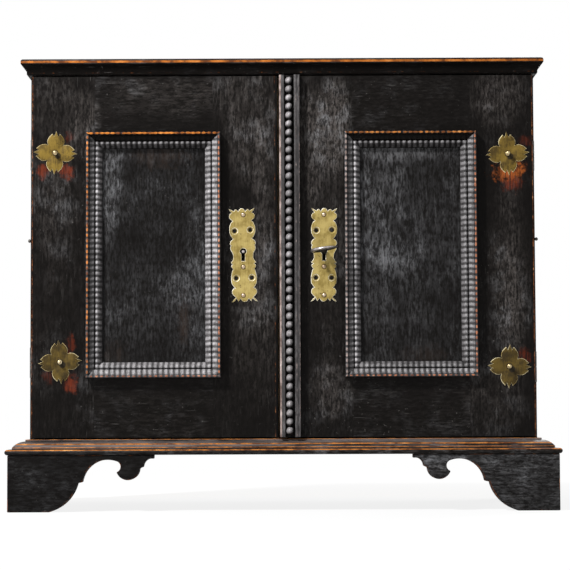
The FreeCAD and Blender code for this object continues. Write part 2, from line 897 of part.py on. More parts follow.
def escutcheon(side):
    """A pierced plate with scrolled edges, four round eyes and a keyhole."""
    x_middle = keyhole_x(side)
    top = door_z + escutcheon_rise + escutcheon_height

    def place(u, v):
        return Vector(u * escutcheon_width / 2, door_face_y, top - v * escutcheon_height)

    half = outline_face((0, escutcheon_start_share), escutcheon_outline_shares, place)
    half = half.extrude(Vector(0, -escutcheon_thickness, 0))
    plate = half.fuse(mirror_x(half)).removeSplitter()
    plate.translate(Vector(x_middle, 0, 0))
    y_range = (door_face_y - escutcheon_thickness - overrun, door_face_y + overrun)
    cuts = [key_channel(x_middle, *y_range)]
    for u, v in escutcheon_eye_shares:
        spot = place(u, v)
        cuts.append(front_rod(escutcheon_eye_radius, x_middle + spot.x, spot.z, *y_range))
    cuts += [front_rod(nail_radius, x, z, *y_range) for x, z in nail_places(side)]
    return plate.cut(cuts)


def nail(x, z):
    """A pin with a low domed head."""
    seat_y = door_face_y - escutcheon_thickness
    pin = front_rod(nail_radius, x, z, seat_y, seat_y + nail_length)
    stations = [(nail_head_height * up, nail_head_radius * girth) for up, girth in nail_head_shares]
    return pin.fuse(turned(Vector(x, seat_y, z), Vector(0, -1, 0), stations))


# Locks
def lock_x_range(side):
    """The end next to the partition, and the far end."""
    sign = sides[side]
    near = meeting_x + sign * (partition_thickness / 2 + lock_end_gap)
    return near, keyhole_x(side) + sign * lock_tails[side]


def bolt_y_range():
    rear = door_back_y + lock_depth - lock_wall - bolt_clearance
    return rear - bolt_thickness, rear


def bolt_z_range():
    low = keyhole_z + bolt_rise
    return low, low + bolt_height


def lock_case(side):
    """An iron box open towards the door, with the slot for the bolt and the pin for a piped key."""
    sign = sides[side]
    near, far = lock_x_range(side)
    z_low = keyhole_z - lock_below
    z_high = keyhole_z + lock_above
    rear = door_back_y + lock_depth
    outer = box((near, far), (door_back_y, rear), (z_low, z_high))
    x_inside = (near + sign * lock_wall, far - sign * lock_wall)
    z_inside = (z_low + lock_wall, z_high - lock_wall)
    inner = box(x_inside, (door_back_y - overrun, rear - lock_wall), z_inside)
    y_low, y_high = bolt_y_range()
    bolt_low, bolt_high = bolt_z_range()
    slot_y = (y_low - bolt_clearance, y_high + bolt_clearance)
    slot_z = (bolt_low - bolt_clearance, bolt_high + bolt_clearance)
    slot = box((near - sign * overrun, near + sign * (lock_wall + overrun)), slot_y, slot_z)
    x = keyhole_x(side)
    pin = front_rod(drill_pin_radius, x, keyhole_z, rear - drill_pin_length, rear - lock_wall / 2)
    return outer.cut([inner, slot]).fuse(pin)


def lock_bolt(side):
    """A flat bolt with a notch that the key's bit enters."""
    sign = sides[side]
    near = lock_x_range(side)[0]
    z_low, z_high = bolt_z_range()
    x = keyhole_x(side)
    bar = box((near, x + sign * bolt_tails[side]), bolt_y_range(), (z_low, z_high))
    x_range = (x - sign * bolt_notch_lead, x - sign * bolt_notch_lead + sign * bolt_notch_width)
    y_low, y_high = bolt_y_range()
    notch = box(x_range, (y_low - overrun, y_high + overrun), (z_low - overrun, z_low + bolt_notch_depth))
    return bar.cut(notch)


def key():
    """A piped key, turned so that its bow is almost level, with its bit inside the lock."""
    x = keyhole_x("right")
    end_y = door_back_y + lock_depth - lock_wall - key_end_gap
    bow_y = door_face_y - key_bow_reach
    shank_y = bow_y + key_bow_radius - key_bow_wire
    shank = front_rod(key_shank_radius, x, keyhole_z, shank_y, end_y)
    collar_y = door_face_y - escutcheon_thickness - key_collar_reach
    collar = front_rod(key_collar_radius, x, keyhole_z, collar_y - key_collar_length, collar_y)
    half = key_bit_thickness / 2
    bit_z = (keyhole_z - half, keyhole_z + half)
    bit = box((x, x + key_bit_length), (end_y - key_bit_height, end_y), bit_z)
    centre = Vector(x, bow_y, keyhole_z)
    ring_middle = centre + Vector(key_bow_radius - key_bow_wire, 0, 0)
    ring_reach = key_bow_wire / math.cos(math.radians(half_turn / key_bow_facets))
    section = polygon_ring(ring_middle, Vector(1, 0, 0), Vector(0, 0, 1), ring_reach, key_bow_facets)
    ring = Part.Face(section).revolve(centre, Vector(0, 0, 1), full_turn)
    whole = fuse_all([shank, collar, bit, ring])
    bore_y = end_y - drill_pin_length
    whole = whole.cut(front_rod(key_bore_radius, x, keyhole_z, bore_y, end_y + overrun))
    whole.rotate(Vector(x, 0, keyhole_z), Vector(0, 1, 0), -key_tilt_angle)
    return whole


# Carrying handles
def handle_middle_y():
    return (carcase_y + back_y) / 2


def handle_post(side, y):
    """A turned post on a round plate, bored for the end of the bail."""
    outward = Vector(sides[side], 0, 0)
    foot = Vector(sides[side] * half_width, y, handle_height)
    plate = rod(outward, handle_plate_radius, foot, handle_plate_thickness)
    stations = [(0, handle_stem_radius), (handle_plate_thickness, handle_stem_radius)]
    for along, girth in post_ball_shares:
        stations.append((handle_ball_reach + handle_ball_radius * along, handle_ball_radius * girth))
    stations.append((handle_reach - handle_tip_radius * 2, handle_neck_radius))
    stations.append((handle_reach - handle_tip_radius, handle_tip_radius))
    stations.append((handle_reach, handle_neck_radius))
    post = plate.fuse(turned(foot, outward, stations))
    bore_radius = bail_wire_radius + bail_bore_clearance
    start = foot + outward * handle_ball_reach - Vector(0, handle_ball_radius + overrun, 0)
    return post.cut(rod(Vector(0, 1, 0), bore_radius, start, (handle_ball_radius + overrun) * 2))


def bail(side):
    """A drop handle of round rod, with its ends turned out into the posts."""
    x = sides[side] * (half_width + handle_ball_reach)
    middle = handle_middle_y()
    arm = handle_span / 2 - bail_stub_length - bail_bend_radius
    end = handle_span / 2 + handle_ball_radius
    radius = bail_bend_radius
    diagonal = radius * math.cos(math.radians(quarter_turn / 2))
    low = handle_height - bail_drop

    def spot(y, z):
        return Vector(x, middle + y, z)

    half = [
        Part.LineSegment(spot(end, handle_height), spot(arm + radius, handle_height)).toShape(),
        Part.Arc(
            spot(arm + radius, handle_height),
            spot(arm + radius - diagonal, handle_height - radius + diagonal),
            spot(arm, handle_height - radius),
        ).toShape(),
        Part.LineSegment(spot(arm, handle_height - radius), spot(arm, low + radius)).toShape(),
        Part.Arc(
            spot(arm, low + radius),
            spot(arm - radius + diagonal, low + radius - diagonal),
            spot(arm - radius, low),
        ).toShape(),
        Part.LineSegment(spot(arm - radius, low), spot(0, low)).toShape(),
    ]
    path = Part.Wire(half)
    start = spot(end, handle_height)
    section = polygon_ring(start, Vector(1, 0, 0), Vector(0, 0, 1), bail_wire_radius, bail_facets)
    one_half = path.makePipeShell([section], True, False)
    other = one_half.mirror(Vector(x, middle, handle_height), Vector(0, 1, 0))
    return one_half.fuse(other).removeSplitter()


def mount_nodes():
    for side in sides:
        places = rosette_places(side)
        heights = hinge_heights(side)
        save("rosettes_" + side, [rosette(x, z) for x, z in places])
        save("rosette_rivets_" + side, [rivet(x, z) for x, z in places])
        straps = [hinge_leaf(side, z, True) for z in heights]
        holes = [front_rod(rivet_radius, x, z, door_face_y, door_back_y + overrun) for x, z in places]
        save("door_straps_" + side, [strap.cut(holes) for strap in straps])
        save("carcase_leaves_" + side, [hinge_leaf(side, z, False) for z in heights])
        save("hinge_pins_" + side, [hinge_pin(side, z) for z in heights])
        save("escutcheon_" + side, escutcheon(side))
        save("escutcheon_nails_" + side, [nail(x, z) for x, z in nail_places(side)])
        save("lock_case_" + side, lock_case(side))
        save("lock_bolt_" + side, lock_bolt(side))
        posts = [handle_middle_y() - handle_span / 2, handle_middle_y() + handle_span / 2]
        save("handle_posts_" + side, [handle_post(side, y) for y in posts])
        save("handle_bail_" + side, bail(side))
    save("key", key())


os.makedirs("parts", exist_ok=True)
carcase_nodes()
top_nodes()
feet_nodes()
for door_side in sides:
    door_frame_nodes(door_side)
ripple_nodes()
save("beaded_strip", beaded_strip())
mount_nodes()
print("whole depth", whole_depth, "front plane of the doors", door_face_y, "carcase front", carcase_y)
print("hinge axis", hinge_axis_x, hinge_axis_y)
print("keyholes", keyhole_x("left"), keyhole_x("right"), keyhole_z)
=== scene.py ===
import json
import math

import bmesh
import bpy
from mathutils import Matrix, Vector


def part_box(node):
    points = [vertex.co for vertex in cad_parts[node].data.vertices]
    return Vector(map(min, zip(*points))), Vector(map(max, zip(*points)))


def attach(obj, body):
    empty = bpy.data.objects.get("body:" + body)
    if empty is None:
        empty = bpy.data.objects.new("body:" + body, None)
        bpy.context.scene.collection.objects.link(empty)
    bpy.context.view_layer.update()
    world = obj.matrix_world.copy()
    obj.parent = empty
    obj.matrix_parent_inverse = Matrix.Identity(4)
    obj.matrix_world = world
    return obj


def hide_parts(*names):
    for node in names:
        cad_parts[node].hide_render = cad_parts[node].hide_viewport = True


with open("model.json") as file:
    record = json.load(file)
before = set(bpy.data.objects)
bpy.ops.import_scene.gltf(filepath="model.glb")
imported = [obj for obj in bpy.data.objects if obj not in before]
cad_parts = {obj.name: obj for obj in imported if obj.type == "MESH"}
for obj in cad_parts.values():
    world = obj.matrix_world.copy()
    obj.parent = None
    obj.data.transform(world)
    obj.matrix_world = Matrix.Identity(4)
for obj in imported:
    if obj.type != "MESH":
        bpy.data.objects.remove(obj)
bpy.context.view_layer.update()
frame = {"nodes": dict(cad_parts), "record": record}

# Two-door ebonised cabinet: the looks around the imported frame.
# Metres, +Z up, front towards -Y. Left and right are the viewer's.
mm = 0.001
fullTurn = math.tau
quarterTurn = math.tau / 4
outward = Vector((0, -1, 0))
sides = {"left": -1, "right": 1}
bodyOf = {}
for bodyName, members in frame["record"]["behaviour"]["bodies"].items():
    for member in members:
        bodyOf[member] = bodyName

# Planes that several pieces share, read from the frame
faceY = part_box("inner_stile_left")[0].y
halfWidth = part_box("side_right")[1].x
baseLow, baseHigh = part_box("base_moulding_front")
topLow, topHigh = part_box("top_board")
print("frame loaded,", len(frame["nodes"]), "nodes")


# Shader sockets that can be added, multiplied and fed to nodes
class Tap:
    def __init__(self, tree, socket=None):
        self.tree = tree
        self.socket = socket

    def node(self, kind, settings=None, values=None, out=0):
        made = self.tree.nodes.new("ShaderNode" + kind)
        for key, value in (settings or {}).items():
            if key == "stops":
                setStops(made.color_ramp, value)
            else:
                setattr(made, key, value)
        for key, value in (values or {}).items():
            socket = made.inputs[key]
            if isinstance(value, Tap):
                self.tree.links.new(value.socket, socket)
            elif socket.type == "RGBA" and len(value) == 3:
                socket.default_value = (*value, 1)
            else:
                socket.default_value = value
        return Tap(self.tree, made.outputs[out] if made.outputs else None)

    def maths(self, operation, first, second=0.0, clamp=False):
        return self.node("Math", {"operation": operation, "use_clamp": clamp}, {0: first, 1: second})

    def __add__(self, other):
        return self.maths("ADD", self, other)

    def __radd__(self, other):
        return self.maths("ADD", other, self)

    def __sub__(self, other):
        return self.maths("SUBTRACT", self, other)

    def __rsub__(self, other):
        return self.maths("SUBTRACT", other, self)

    def __mul__(self, other):
        return self.maths("MULTIPLY", self, other)

    def __rmul__(self, other):
        return self.maths("MULTIPLY", other, self)

    def __pow__(self, other):
        return self.maths("POWER", self, other)

    def __abs__(self):
        return self.maths("ABSOLUTE", self)

    def most(self, other):
        return self.maths("MAXIMUM", self, other)

    def limited(self):
        return self.maths("ADD", self, 0.0, True)

    # 0 below the first value, 1 above the second, smooth between. The order may be reversed.
    def rise(self, low, high):
        values = {"Value": self, "From Min": low, "From Max": high, "To Min": 0.0, "To Max": 1.0}
        return self.node("MapRange", {"interpolation_type": "SMOOTHSTEP"}, values)

    def placed(self, scale, shift=(0, 0, 0)):
        return self.node("Mapping", {}, {"Vector": self, "Location": shift, "Scale": scale})

    def noise(self, scale, detail=2.0, roughness=0.5):
        values = {"Vector": self, "Scale": scale, "Detail": detail, "Roughness": roughness}
        return self.node("TexNoise", {}, values)

    def along(self, axis):
        return self.node("SeparateXYZ", {}, {0: self}, axis)

    def mixed(self, first, second):
        return self.node("Mix", {"data_type": "RGBA"}, {0: self, 6: first, 7: second}, 2)


def setStops(ramp, stops):
    while len(ramp.elements) > 1:
        ramp.elements.remove(ramp.elements[-1])
    ramp.elements[0].position = stops[0][0]
    ramp.elements[0].color = (*stops[0][1], 1)
    for position, colour in stops[1:]:
        ramp.elements.new(position).color = (*colour, 1)


def startMaterial(name):
    material = bpy.data.materials.new(name)
    material.use_nodes = True
    material.node_tree.nodes.clear()
    return material, Tap(material.node_tree)


def closeMaterial(tap, values):
    shader = tap.node("BsdfPrincipled", {}, values)
    tap.node("OutputMaterial", {}, {"Surface": shader})


def bumped(tap, height, distance, strength):
    return tap.node("Bump", {}, {"Height": height, "Distance": distance, "Strength": strength})


# Finishes
blackWood = {
    "ground": (0.0027, 0.0021, 0.0018),
    "bloom": (0.150, 0.152, 0.160),
    "scratch": (0.17, 0.16, 0.15),
    "satin": {"rubbed": (0.074, 0.065, 0.060), "cover": 0.0, "roughness": 0.40, "specular": 0.060},
    "panel": {"rubbed": (0.072, 0.071, 0.073), "cover": 0.0, "roughness": 0.40, "specular": 0.065},
    "polished": {"rubbed": (0.190, 0.176, 0.178), "cover": 0.14, "roughness": 0.36, "specular": 0.20},
    "ripple": {"rubbed": (0.440, 0.420, 0.430), "cover": 0.55, "roughness": 0.36, "specular": 0.30},
    "rippleTop": {"rubbed": (0.440, 0.420, 0.430), "cover": 0.55, "roughness": 0.40, "specular": 0.06},
    "bead": {"rubbed": (0.420, 0.392, 0.398), "cover": 0.34, "roughness": 0.34, "specular": 0.40, "bump": 0.06},
    # Near-black painted shade, for the cornice under the top's overhang and the bed beside the strip's beads
    "deepShade": {"rubbed": (0.030, 0.024, 0.022), "cover": 0.0, "roughness": 0.50, "specular": 0.03},
}
bareWood = {
    "orange": ((0.115, 0.034, 0.010), (0.56, 0.180, 0.028), (0.74, 0.32, 0.09)),
    "copper": ((0.100, 0.030, 0.009), (0.40, 0.122, 0.019), (0.56, 0.215, 0.055)),
    "brown": ((0.055, 0.018, 0.009), (0.22, 0.070, 0.022), (0.50, 0.26, 0.13)),
    "amber": ((0.110, 0.036, 0.012), (0.42, 0.150, 0.032), (0.66, 0.31, 0.10)),
    "russet": ((0.100, 0.032, 0.018), (0.42, 0.150, 0.070), (0.66, 0.38, 0.25)),
    "chalky": ((0.12, 0.080, 0.068), (0.36, 0.28, 0.255), (0.62, 0.52, 0.49)),
}
# Noises: scale, detail and roughness
woodMarks = {
    "fine": (430.0, 4.0, 0.68),
    "broad": (70.0, 4.0, 0.6),
    "mottle": (44.0, 5.0, 0.66),
    "cloud": (8.5, 3.0, 0.55),
    "grit": (450.0, 3.0, 0.75),
    "hair": (950.0, 1.0, 0.4),
    "specks": (420.0, 1.0, 0.5),
    "ragged": (260.0, 3.0, 0.6),
    "tone": (95.0, 3.0, 0.6),
    "stain": (150.0, 4.0, 0.7),
    "even": (38.0, 3.0, 0.6),
    "uneven": (110.0, 4.0, 0.65),
}
brassMarks = {
    "blotch": (85.0, 4.0, 0.6),
    "fine": (700.0, 3.0, 0.6),
    "brushed": (900.0, 2.0, 0.6),
    "pits": (420.0, 2.0, 0.5),
    "waves": (60.0, 2.0, 0.5),
}
made = {}


# Noise scales for marks drawn out along the grain
def stretched(grain, share=0.065):
    return tuple(share if axis == grain else 1.0 for axis in "xyz")


# Black stained wood with its grain along one axis. Wear gives a mask from the coordinates where the wood is bare, and
# the crest mask where it is rubbed pale or carries a painted highlight. Rub is a number, or a function of the
# coordinates.
def ebonised(name, grain, seed, rub=1.0, wear=None, patches=(), finish="satin", bare="orange", dustAndTopLight=None,
             paleCrestAndHighlight=None):
    look = blackWood[finish]
    material, tap = startMaterial(name)
    place = tap.node("TexCoord", {}, {}, "Object")
    shift = (seed * 0.37, seed * 0.61, seed * 0.23)
    along = place.placed(stretched(grain), shift)
    still = place.placed((1, 1, 1), shift)
    fine = along.noise(*woodMarks["fine"])
    broad = along.noise(*woodMarks["broad"])
    mottle = still.noise(*woodMarks["mottle"])
    cloud = place.noise(*woodMarks["cloud"])
    rub = rub(place) if callable(rub) else rub
    grit = place.placed(stretched(grain, 0.30), shift).noise(*woodMarks["grit"]).rise(0.38, 0.64)
    streaks = (fine * 0.6 + broad * 0.4).rise(0.42, 0.64)
    rubbed = (streaks * 0.62 + 0.38) * (mottle.rise(0.34, 0.64) * 0.5 + 0.5) * (cloud.rise(0.36, 0.66) * 0.65 + 0.35)
    rubbed = (rubbed * (grit * 1.7 + 0.18) * rub * 0.55 + look["cover"]).limited()
    bloom = (fine.rise(0.44, 0.68) * 0.6 + 0.4) * mottle.rise(0.46, 0.68) * cloud.rise(0.42, 0.66)
    bloom = (bloom * (grit * 1.6 + 0.2) * rub * 0.50).limited()
    if paleCrestAndHighlight:
        raised = paleCrestAndHighlight(place)
        rubbed, bloom = rubbed * raised, bloom * raised
    hair = along.noise(*woodMarks["hair"]).rise(0.69, 0.78)
    specks = still.noise(*woodMarks["specks"]).rise(0.71, 0.79)
    marks = ((hair * 0.28 + specks * 0.45) * cloud.rise(0.35, 0.75)).limited()
    colour = rubbed.mixed(blackWood["ground"], look["rubbed"])
    colour = bloom.mixed(colour, blackWood["bloom"])
    colour = marks.mixed(colour, blackWood["scratch"])
    if dustAndTopLight:
        dustAndTopLightMask = (broad.rise(0.40, 0.60) * 0.6 + fine.rise(0.42, 0.62) * 0.4) * dustAndTopLight["strength"]
        dustAndTopLightMask = dustAndTopLightMask * place.along("Z").rise(dustAndTopLight["from"], dustAndTopLight["from"] + 1.2 * mm)
        colour = dustAndTopLightMask.mixed(colour, dustAndTopLight["colour"])
    for patch in patches:
        colour = stain(place, patch, fine).mixed(colour, patch["colour"])
    rough = 1.0 - (1.0 - look["roughness"]) * (1.0 - rubbed * 0.25)
    if wear:
        colour, rough = wornThrough(wear(place), still, bareWood[bare], colour, rough)
    grainBump = fine * 0.6 + hair * -0.5 + broad * 0.5
    closeMaterial(tap, {
        "Base Color": colour,
        "Roughness": rough.limited(),
        "Specular IOR Level": look["specular"],
        "Normal": bumped(tap, grainBump, 0.35 * mm, look.get("bump", 0.5)),
    })
    return material


# Bare wood where the stain is worn through, with ragged edges
def wornThrough(worn, still, tones, colour, rough):
    dark, middle, pale = tones
    ragged = (worn + (still.noise(*woodMarks["ragged"]) - 0.5) * 0.9).rise(0.34, 0.62)
    tone = still.noise(*woodMarks["tone"])
    stripped = tone.rise(0.34, 0.60).mixed(dark, middle)
    stripped = tone.rise(0.58, 0.76).mixed(stripped, pale)
    return (ragged * worn.rise(0.05, 0.3)).mixed(colour, stripped), rough + ragged * 0.15


# More rubbing round given spots: x, z, width and height in millimetres, and amount
def rubMap(base, spots):
    def rub(place):
        total = base
        for x, z, width, height, amount in spots:
            across = (place.along("X") - x * mm) * (1 / (width * mm))
            up = (place.along("Z") - z * mm) * (1 / (height * mm))
            total = (across * across + up * up).rise(1.7, 0.0) * amount + total
        return total
    return rub


# A soft-edged patch where the stain has gone, down to a depth behind the front of the doors
def stain(place, patch, fine):
    front = place.along("Y").rise(faceY + patch["depth"], faceY + patch["depth"] - 2 * mm)
    across = (place.along("X") - patch["x"]) * (1 / patch["width"])
    up = (place.along("Z") - patch["z"]) * (1 / patch["height"])
    reach = (across * across + up * up) ** 0.5
    ragged = reach + (place.noise(*woodMarks["stain"]) - 0.5) * patch["ragged"]
    return (1.0 - ragged.rise(0.25, 1.05)) * (fine.rise(0.36, 0.60) * 0.8 + 0.2) * front * patch["strength"]


# Wear along straight arrises, each given by coordinates across it. A beat breaks the line up along its length.
def alongLines(lines):
    def wear(place):
        total = 0.0
        for line in lines:
            square = 0.0
            for axis, value in line["at"].items():
                coordinate = abs(place.along(axis[-1])) if axis.startswith("abs") else place.along(axis)
                gap = coordinate - value
                square = gap * gap + square
            near = (square ** 0.5).rise(line["reach"], line["reach"] * 0.25) * line["strength"]
            if "beat" in line:
                axis, start, pitch = line["beat"]
                turn = (place.along(axis) - start) * (fullTurn / pitch)
                near = near * (turn.maths("COSINE", turn).rise(-0.5, 0.7) * 0.55 + 0.45)
            total = near.most(total)
        return total
    return wear


def evenWear(amount):
    def wear(place):
        return place.noise(*woodMarks["even"]).rise(0.25, 0.7) * amount
    return wear


# The rim colours are pale paint on the chamfered edges, standing for their highlight
brassTones = {
    "plate": {
        "bright": (0.41, 0.315, 0.108), "dull": (0.21, 0.150, 0.038), "dark": (0.035, 0.020, 0.008),
        "rim": (0.90, 0.86, 0.74), "rough": 0.36, "metal": 0.18,
    },
    "olive": {
        "bright": (0.230, 0.150, 0.028), "dull": (0.060, 0.038, 0.008), "dark": (0.008, 0.006, 0.004),
        "rim": (0.66, 0.58, 0.36), "rough": 0.32, "metal": 0.22,
    },
    "rivet": {
        "bright": (0.72, 0.60, 0.38), "dull": (0.34, 0.25, 0.12), "dark": (0.05, 0.03, 0.015),
        "rough": 0.22, "metal": 0.85,
    },
    "nail": {
        "bright": (0.62, 0.50, 0.36), "dull": (0.28, 0.19, 0.12), "dark": (0.05, 0.03, 0.02),
        "rough": 0.20, "metal": 0.85,
    },
}


# Rubbed sheet brass. Dirt, painted shade and painted shadows lie in rings round the places given, each with its
# radius.
def brass(name, tone, seed, part="face", dirtAndShade=()):
    look = brassTones[tone]
    material, tap = startMaterial(name)
    place = tap.node("TexCoord", {}, {}, "Object")
    still = place.placed((1, 1, 1), (seed, seed * 0.7, seed * 1.3))
    blotch = still.noise(*brassMarks["blotch"])
    fine = still.noise(*brassMarks["fine"])
    brushed = still.placed((1, 1, 0.12)).noise(*brassMarks["brushed"])
    pits = still.noise(*brassMarks["pits"]).rise(0.66, 0.76)
    tint = (blotch * 0.75 + brushed * 0.25).rise(0.36, 0.64)
    colour = tint.mixed(look["dull"], look["bright"])
    # The rim part is painted pale as a highlight on the chamfers
    if part == "rim":
        colour = blotch.rise(0.30, 0.60).mixed(look["bright"], look["rim"])
    colour = (pits * 0.75).mixed(colour, look["dark"])
    for x, z, radius, strength in dirtAndShade:
        across, up = place.along("X") - x, place.along("Z") - z
        away = (across * across + up * up) ** 0.5 + (fine - 0.5) * 0.6 * mm
        colour = (away.rise(radius * 1.5, radius) * strength).mixed(colour, look["dark"])
    rough = (0.45 if part == "rim" else look["rough"]) + blotch.rise(0.75, 0.3) * 0.18 + fine * 0.08
    waves = still.noise(*brassMarks["waves"]) * 1.6 + fine * 0.10 - pits * 0.22
    closeMaterial(tap, {
        "Base Color": colour,
        "Metallic": 0.25 if part == "rim" else look["metal"],
        "Specular IOR Level": 0.15,
        "Roughness": rough,
        "Normal": bumped(tap, waves, 1.2 * mm, 0.55),
    })
    return material


def steel(name, ground, worn, roughness, seed):
    material, tap = startMaterial(name)
    place = tap.node("TexCoord", {}, {}, "Object").placed((1, 1, 1), (seed, seed, seed))
    blotch = place.noise(190.0, 4.0, 0.65)
    hammer = place.noise(70.0, 2.0, 0.5)
    colour = blotch.rise(0.38, 0.66).mixed(ground, worn)
    closeMaterial(tap, {
        "Base Color": colour,
        "Metallic": 0.9,
        "Roughness": roughness + blotch * 0.22,
        "Normal": bumped(tap, hammer + blotch * 0.3, 0.6 * mm, 0.5),
    })
    return material


def softwood(name, grain, seed):
    material, tap = startMaterial(name)
    place = tap.node("TexCoord", {}, {}, "Object")
    along = place.placed(stretched(grain), (seed, seed * 0.6, seed * 1.7))
    rings = along.noise(60.0, 4.0, 0.6)
    fine = along.noise(420.0, 3.0, 0.6)
    grime = place.noise(9.0, 4.0, 0.6)
    settings = {"stops": [(0.34, (0.33, 0.19, 0.085)), (0.52, (0.46, 0.29, 0.14)), (0.70, (0.56, 0.38, 0.20))]}
    colour = tap.node("ValToRGB", settings, {0: rings * 0.7 + fine * 0.3})
    colour = (grime.rise(0.48, 0.78) * 0.6).mixed(colour, (0.13, 0.075, 0.04))
    closeMaterial(tap, {
        "Base Color": colour,
        "Roughness": fine * 0.2 + 0.58,
        "Normal": bumped(tap, rings * 0.5 + fine * 0.5, 0.4 * mm, 0.5),
    })
    return material


# Mesh helpers
def placeInScene(name, data):
    thing = bpy.data.objects.new(name, data)
    bpy.context.scene.collection.objects.link(thing)
    return thing


def newPiece(name, bm, materials, node=None, body=None, smooth=35.0):
    bmesh.ops.recalc_face_normals(bm, faces=bm.faces)
    mesh = bpy.data.meshes.new(name)
    bm.to_mesh(mesh)
    bm.free()
    piece = placeInScene(name, mesh)
    for material in materials:
        mesh.materials.append(material)
    mesh.shade_smooth()
    if smooth:
        mesh.set_sharp_from_angle(angle=math.radians(smooth))
    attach(piece, body or bodyOf[node])
    if node:
        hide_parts(node)
    return piece


# The middle of a box seen from the front, at a given depth
def middleOf(box, y):
    low, high = box
    return Vector(((low.x + high.x) / 2, y, (low.z + high.z) / 2))


# Boxes of the separate solids of one node, told apart by gaps along an axis
def solidsAlong(node, axis, gap=4 * mm):
    part = "XYZ".index(axis)
    spots = sorted((vertex.co.copy() for vertex in frame["nodes"][node].data.vertices), key=lambda co: co[part])
    groups = [[spots[0]]]
    for spot in spots[1:]:
        if spot[part] - groups[-1][-1][part] > gap:
            groups.append([])
        groups[-1].append(spot)
    boxes = []
    for group in groups:
        low = Vector(min(spot[i] for spot in group) for i in range(3))
        high = Vector(max(spot[i] for spot in group) for i in range(3))
        boxes.append((low, high))
    return boxes


# A copy of a CAD piece with its flats whole again and its arrises eased
def eased(node, materials, width, segments=2, sharp=32.0):
    bm = bmesh.new()
    bm.from_mesh(frame["nodes"][node].data)
    bmesh.ops.remove_doubles(bm, verts=bm.verts, dist=0.001 * mm)
    bmesh.ops.dissolve_limit(bm, angle_limit=math.radians(1.0), verts=bm.verts, edges=bm.edges)
    edges = []
    for edge in bm.edges:
        if len(edge.link_faces) == 2 and edge.calc_face_angle(0.0) > math.radians(sharp):
            edges.append(edge)
    rounded = bmesh.ops.bevel(
        bm, geom=edges, offset=width, offset_type="OFFSET", affect="EDGES", segments=segments,
        profile=0.5, material=-1, clamp_overlap=True,
    )
    if len(materials) > 1:
        for face in rounded["faces"]:
            face.material_index = 1
    return newPiece(node + "_eased", bm, materials, node)


# Turns a profile about an axis through the origin: reach along the axis and radius, in millimetres
def addSpun(bm, profile, origin, axis, steps):
    sideways = axis.orthogonal().normalized()
    rim = []
    for reach, radius in profile:
        rim.append(bm.verts.new(origin + axis * (reach * mm) + sideways * (radius * mm)))
    edges = [bm.edges.new(pair) for pair in zip(rim, rim[1:])]
    bmesh.ops.spin(
        bm, geom=rim + edges, cent=origin, axis=axis, angle=fullTurn, steps=steps,
        use_merge=True, use_duplicate=False,
    )
    bmesh.ops.remove_doubles(bm, verts=bm.verts, dist=0.002 * mm)


# Points along the arc through three points, without the first
def arcPoints(start, middle, end, count):
    ax, ay = start
    bx, by = middle
    cx, cy = end
    d = 2 * (ax * (by - cy) + bx * (cy - ay) + cx * (ay - by))
    a2, b2, c2 = ax * ax + ay * ay, bx * bx + by * by, cx * cx + cy * cy
    centre = Vector(((a2 * (by - cy) + b2 * (cy - ay) + c2 * (ay - by)) / d,
                     (a2 * (cx - bx) + b2 * (ax - cx) + c2 * (bx - ax)) / d))
    first = Vector(start) - centre
    turnMiddle = first.angle_signed(Vector(middle) - centre)
    turnEnd = first.angle_signed(Vector(end) - centre)
    if turnMiddle * turnEnd < 0 or abs(turnMiddle) > abs(turnEnd):
        turnEnd -= math.copysign(fullTurn, turnEnd)
    points = []
    for step in range(1, count + 1):
        points.append(tuple(centre + Matrix.Rotation(-turnEnd * step / count, 2) @ first))
    return points


# Follows lines (two values) and arcs (middle and end, four values)
def outlinePoints(start, steps, count):
    points = [start]
    for step in steps:
        if len(step) == 4:
            points += arcPoints(points[-1], step[:2], step[2:], count)
        else:
            points.append(tuple(step))
    return points


def addLoop(bm, places):
    corners = [bm.verts.new(place) for place in places]
    return [bm.edges.new((corners[i], corners[i - 1])) for i in range(len(corners))]


# A flat plate from loops of places in its front plane: the first is the outline, the others are holes.
# Its arrises are chamfered, and the chamfer takes the second material.
def plate(bm, loops, thickness, rim, drop):
    edges = []
    for loop in loops:
        edges += addLoop(bm, loop)
    filled = bmesh.ops.triangle_fill(bm, use_beauty=True, use_dissolve=False, edges=edges)
    faces = [item for item in filled["geom"] if isinstance(item, bmesh.types.BMFace)]
    back = bmesh.ops.extrude_face_region(bm, geom=faces)
    moved = [item for item in back["geom"] if isinstance(item, bmesh.types.BMVert)]
    bmesh.ops.translate(bm, verts=moved, vec=Vector((0, thickness, 0)))
    bmesh.ops.recalc_face_normals(bm, faces=bm.faces)
    level = loops[0][0].y
    front = [face for face in bm.faces if abs(face.calc_center_median().y - level) < 0.01 * mm]
    ring = bmesh.ops.inset_region(bm, faces=front, use_boundary=True, thickness=rim)
    for face in ring["faces"]:
        face.material_index = 1
    border = {vertex for edge in edges if edge.is_valid for vertex in edge.verts}
    bmesh.ops.translate(bm, verts=list(border), vec=Vector((0, drop, 0)))


def circlePlaces(centre, radius, count):
    places = []
    for index in range(count):
        turn = fullTurn * index / count
        places.append(centre + Vector((math.cos(turn), 0, math.sin(turn))) * radius)
    return places


# Materials for the woodwork
topLines = [
    {"at": {"Y": topLow.y, "Z": topLow.z + 2.0 * mm}, "reach": 1.5 * mm, "strength": 1.35},
    {"at": {"absX": topHigh.x, "Z": topLow.z + 2.0 * mm}, "reach": 1.5 * mm, "strength": 1.2},
]
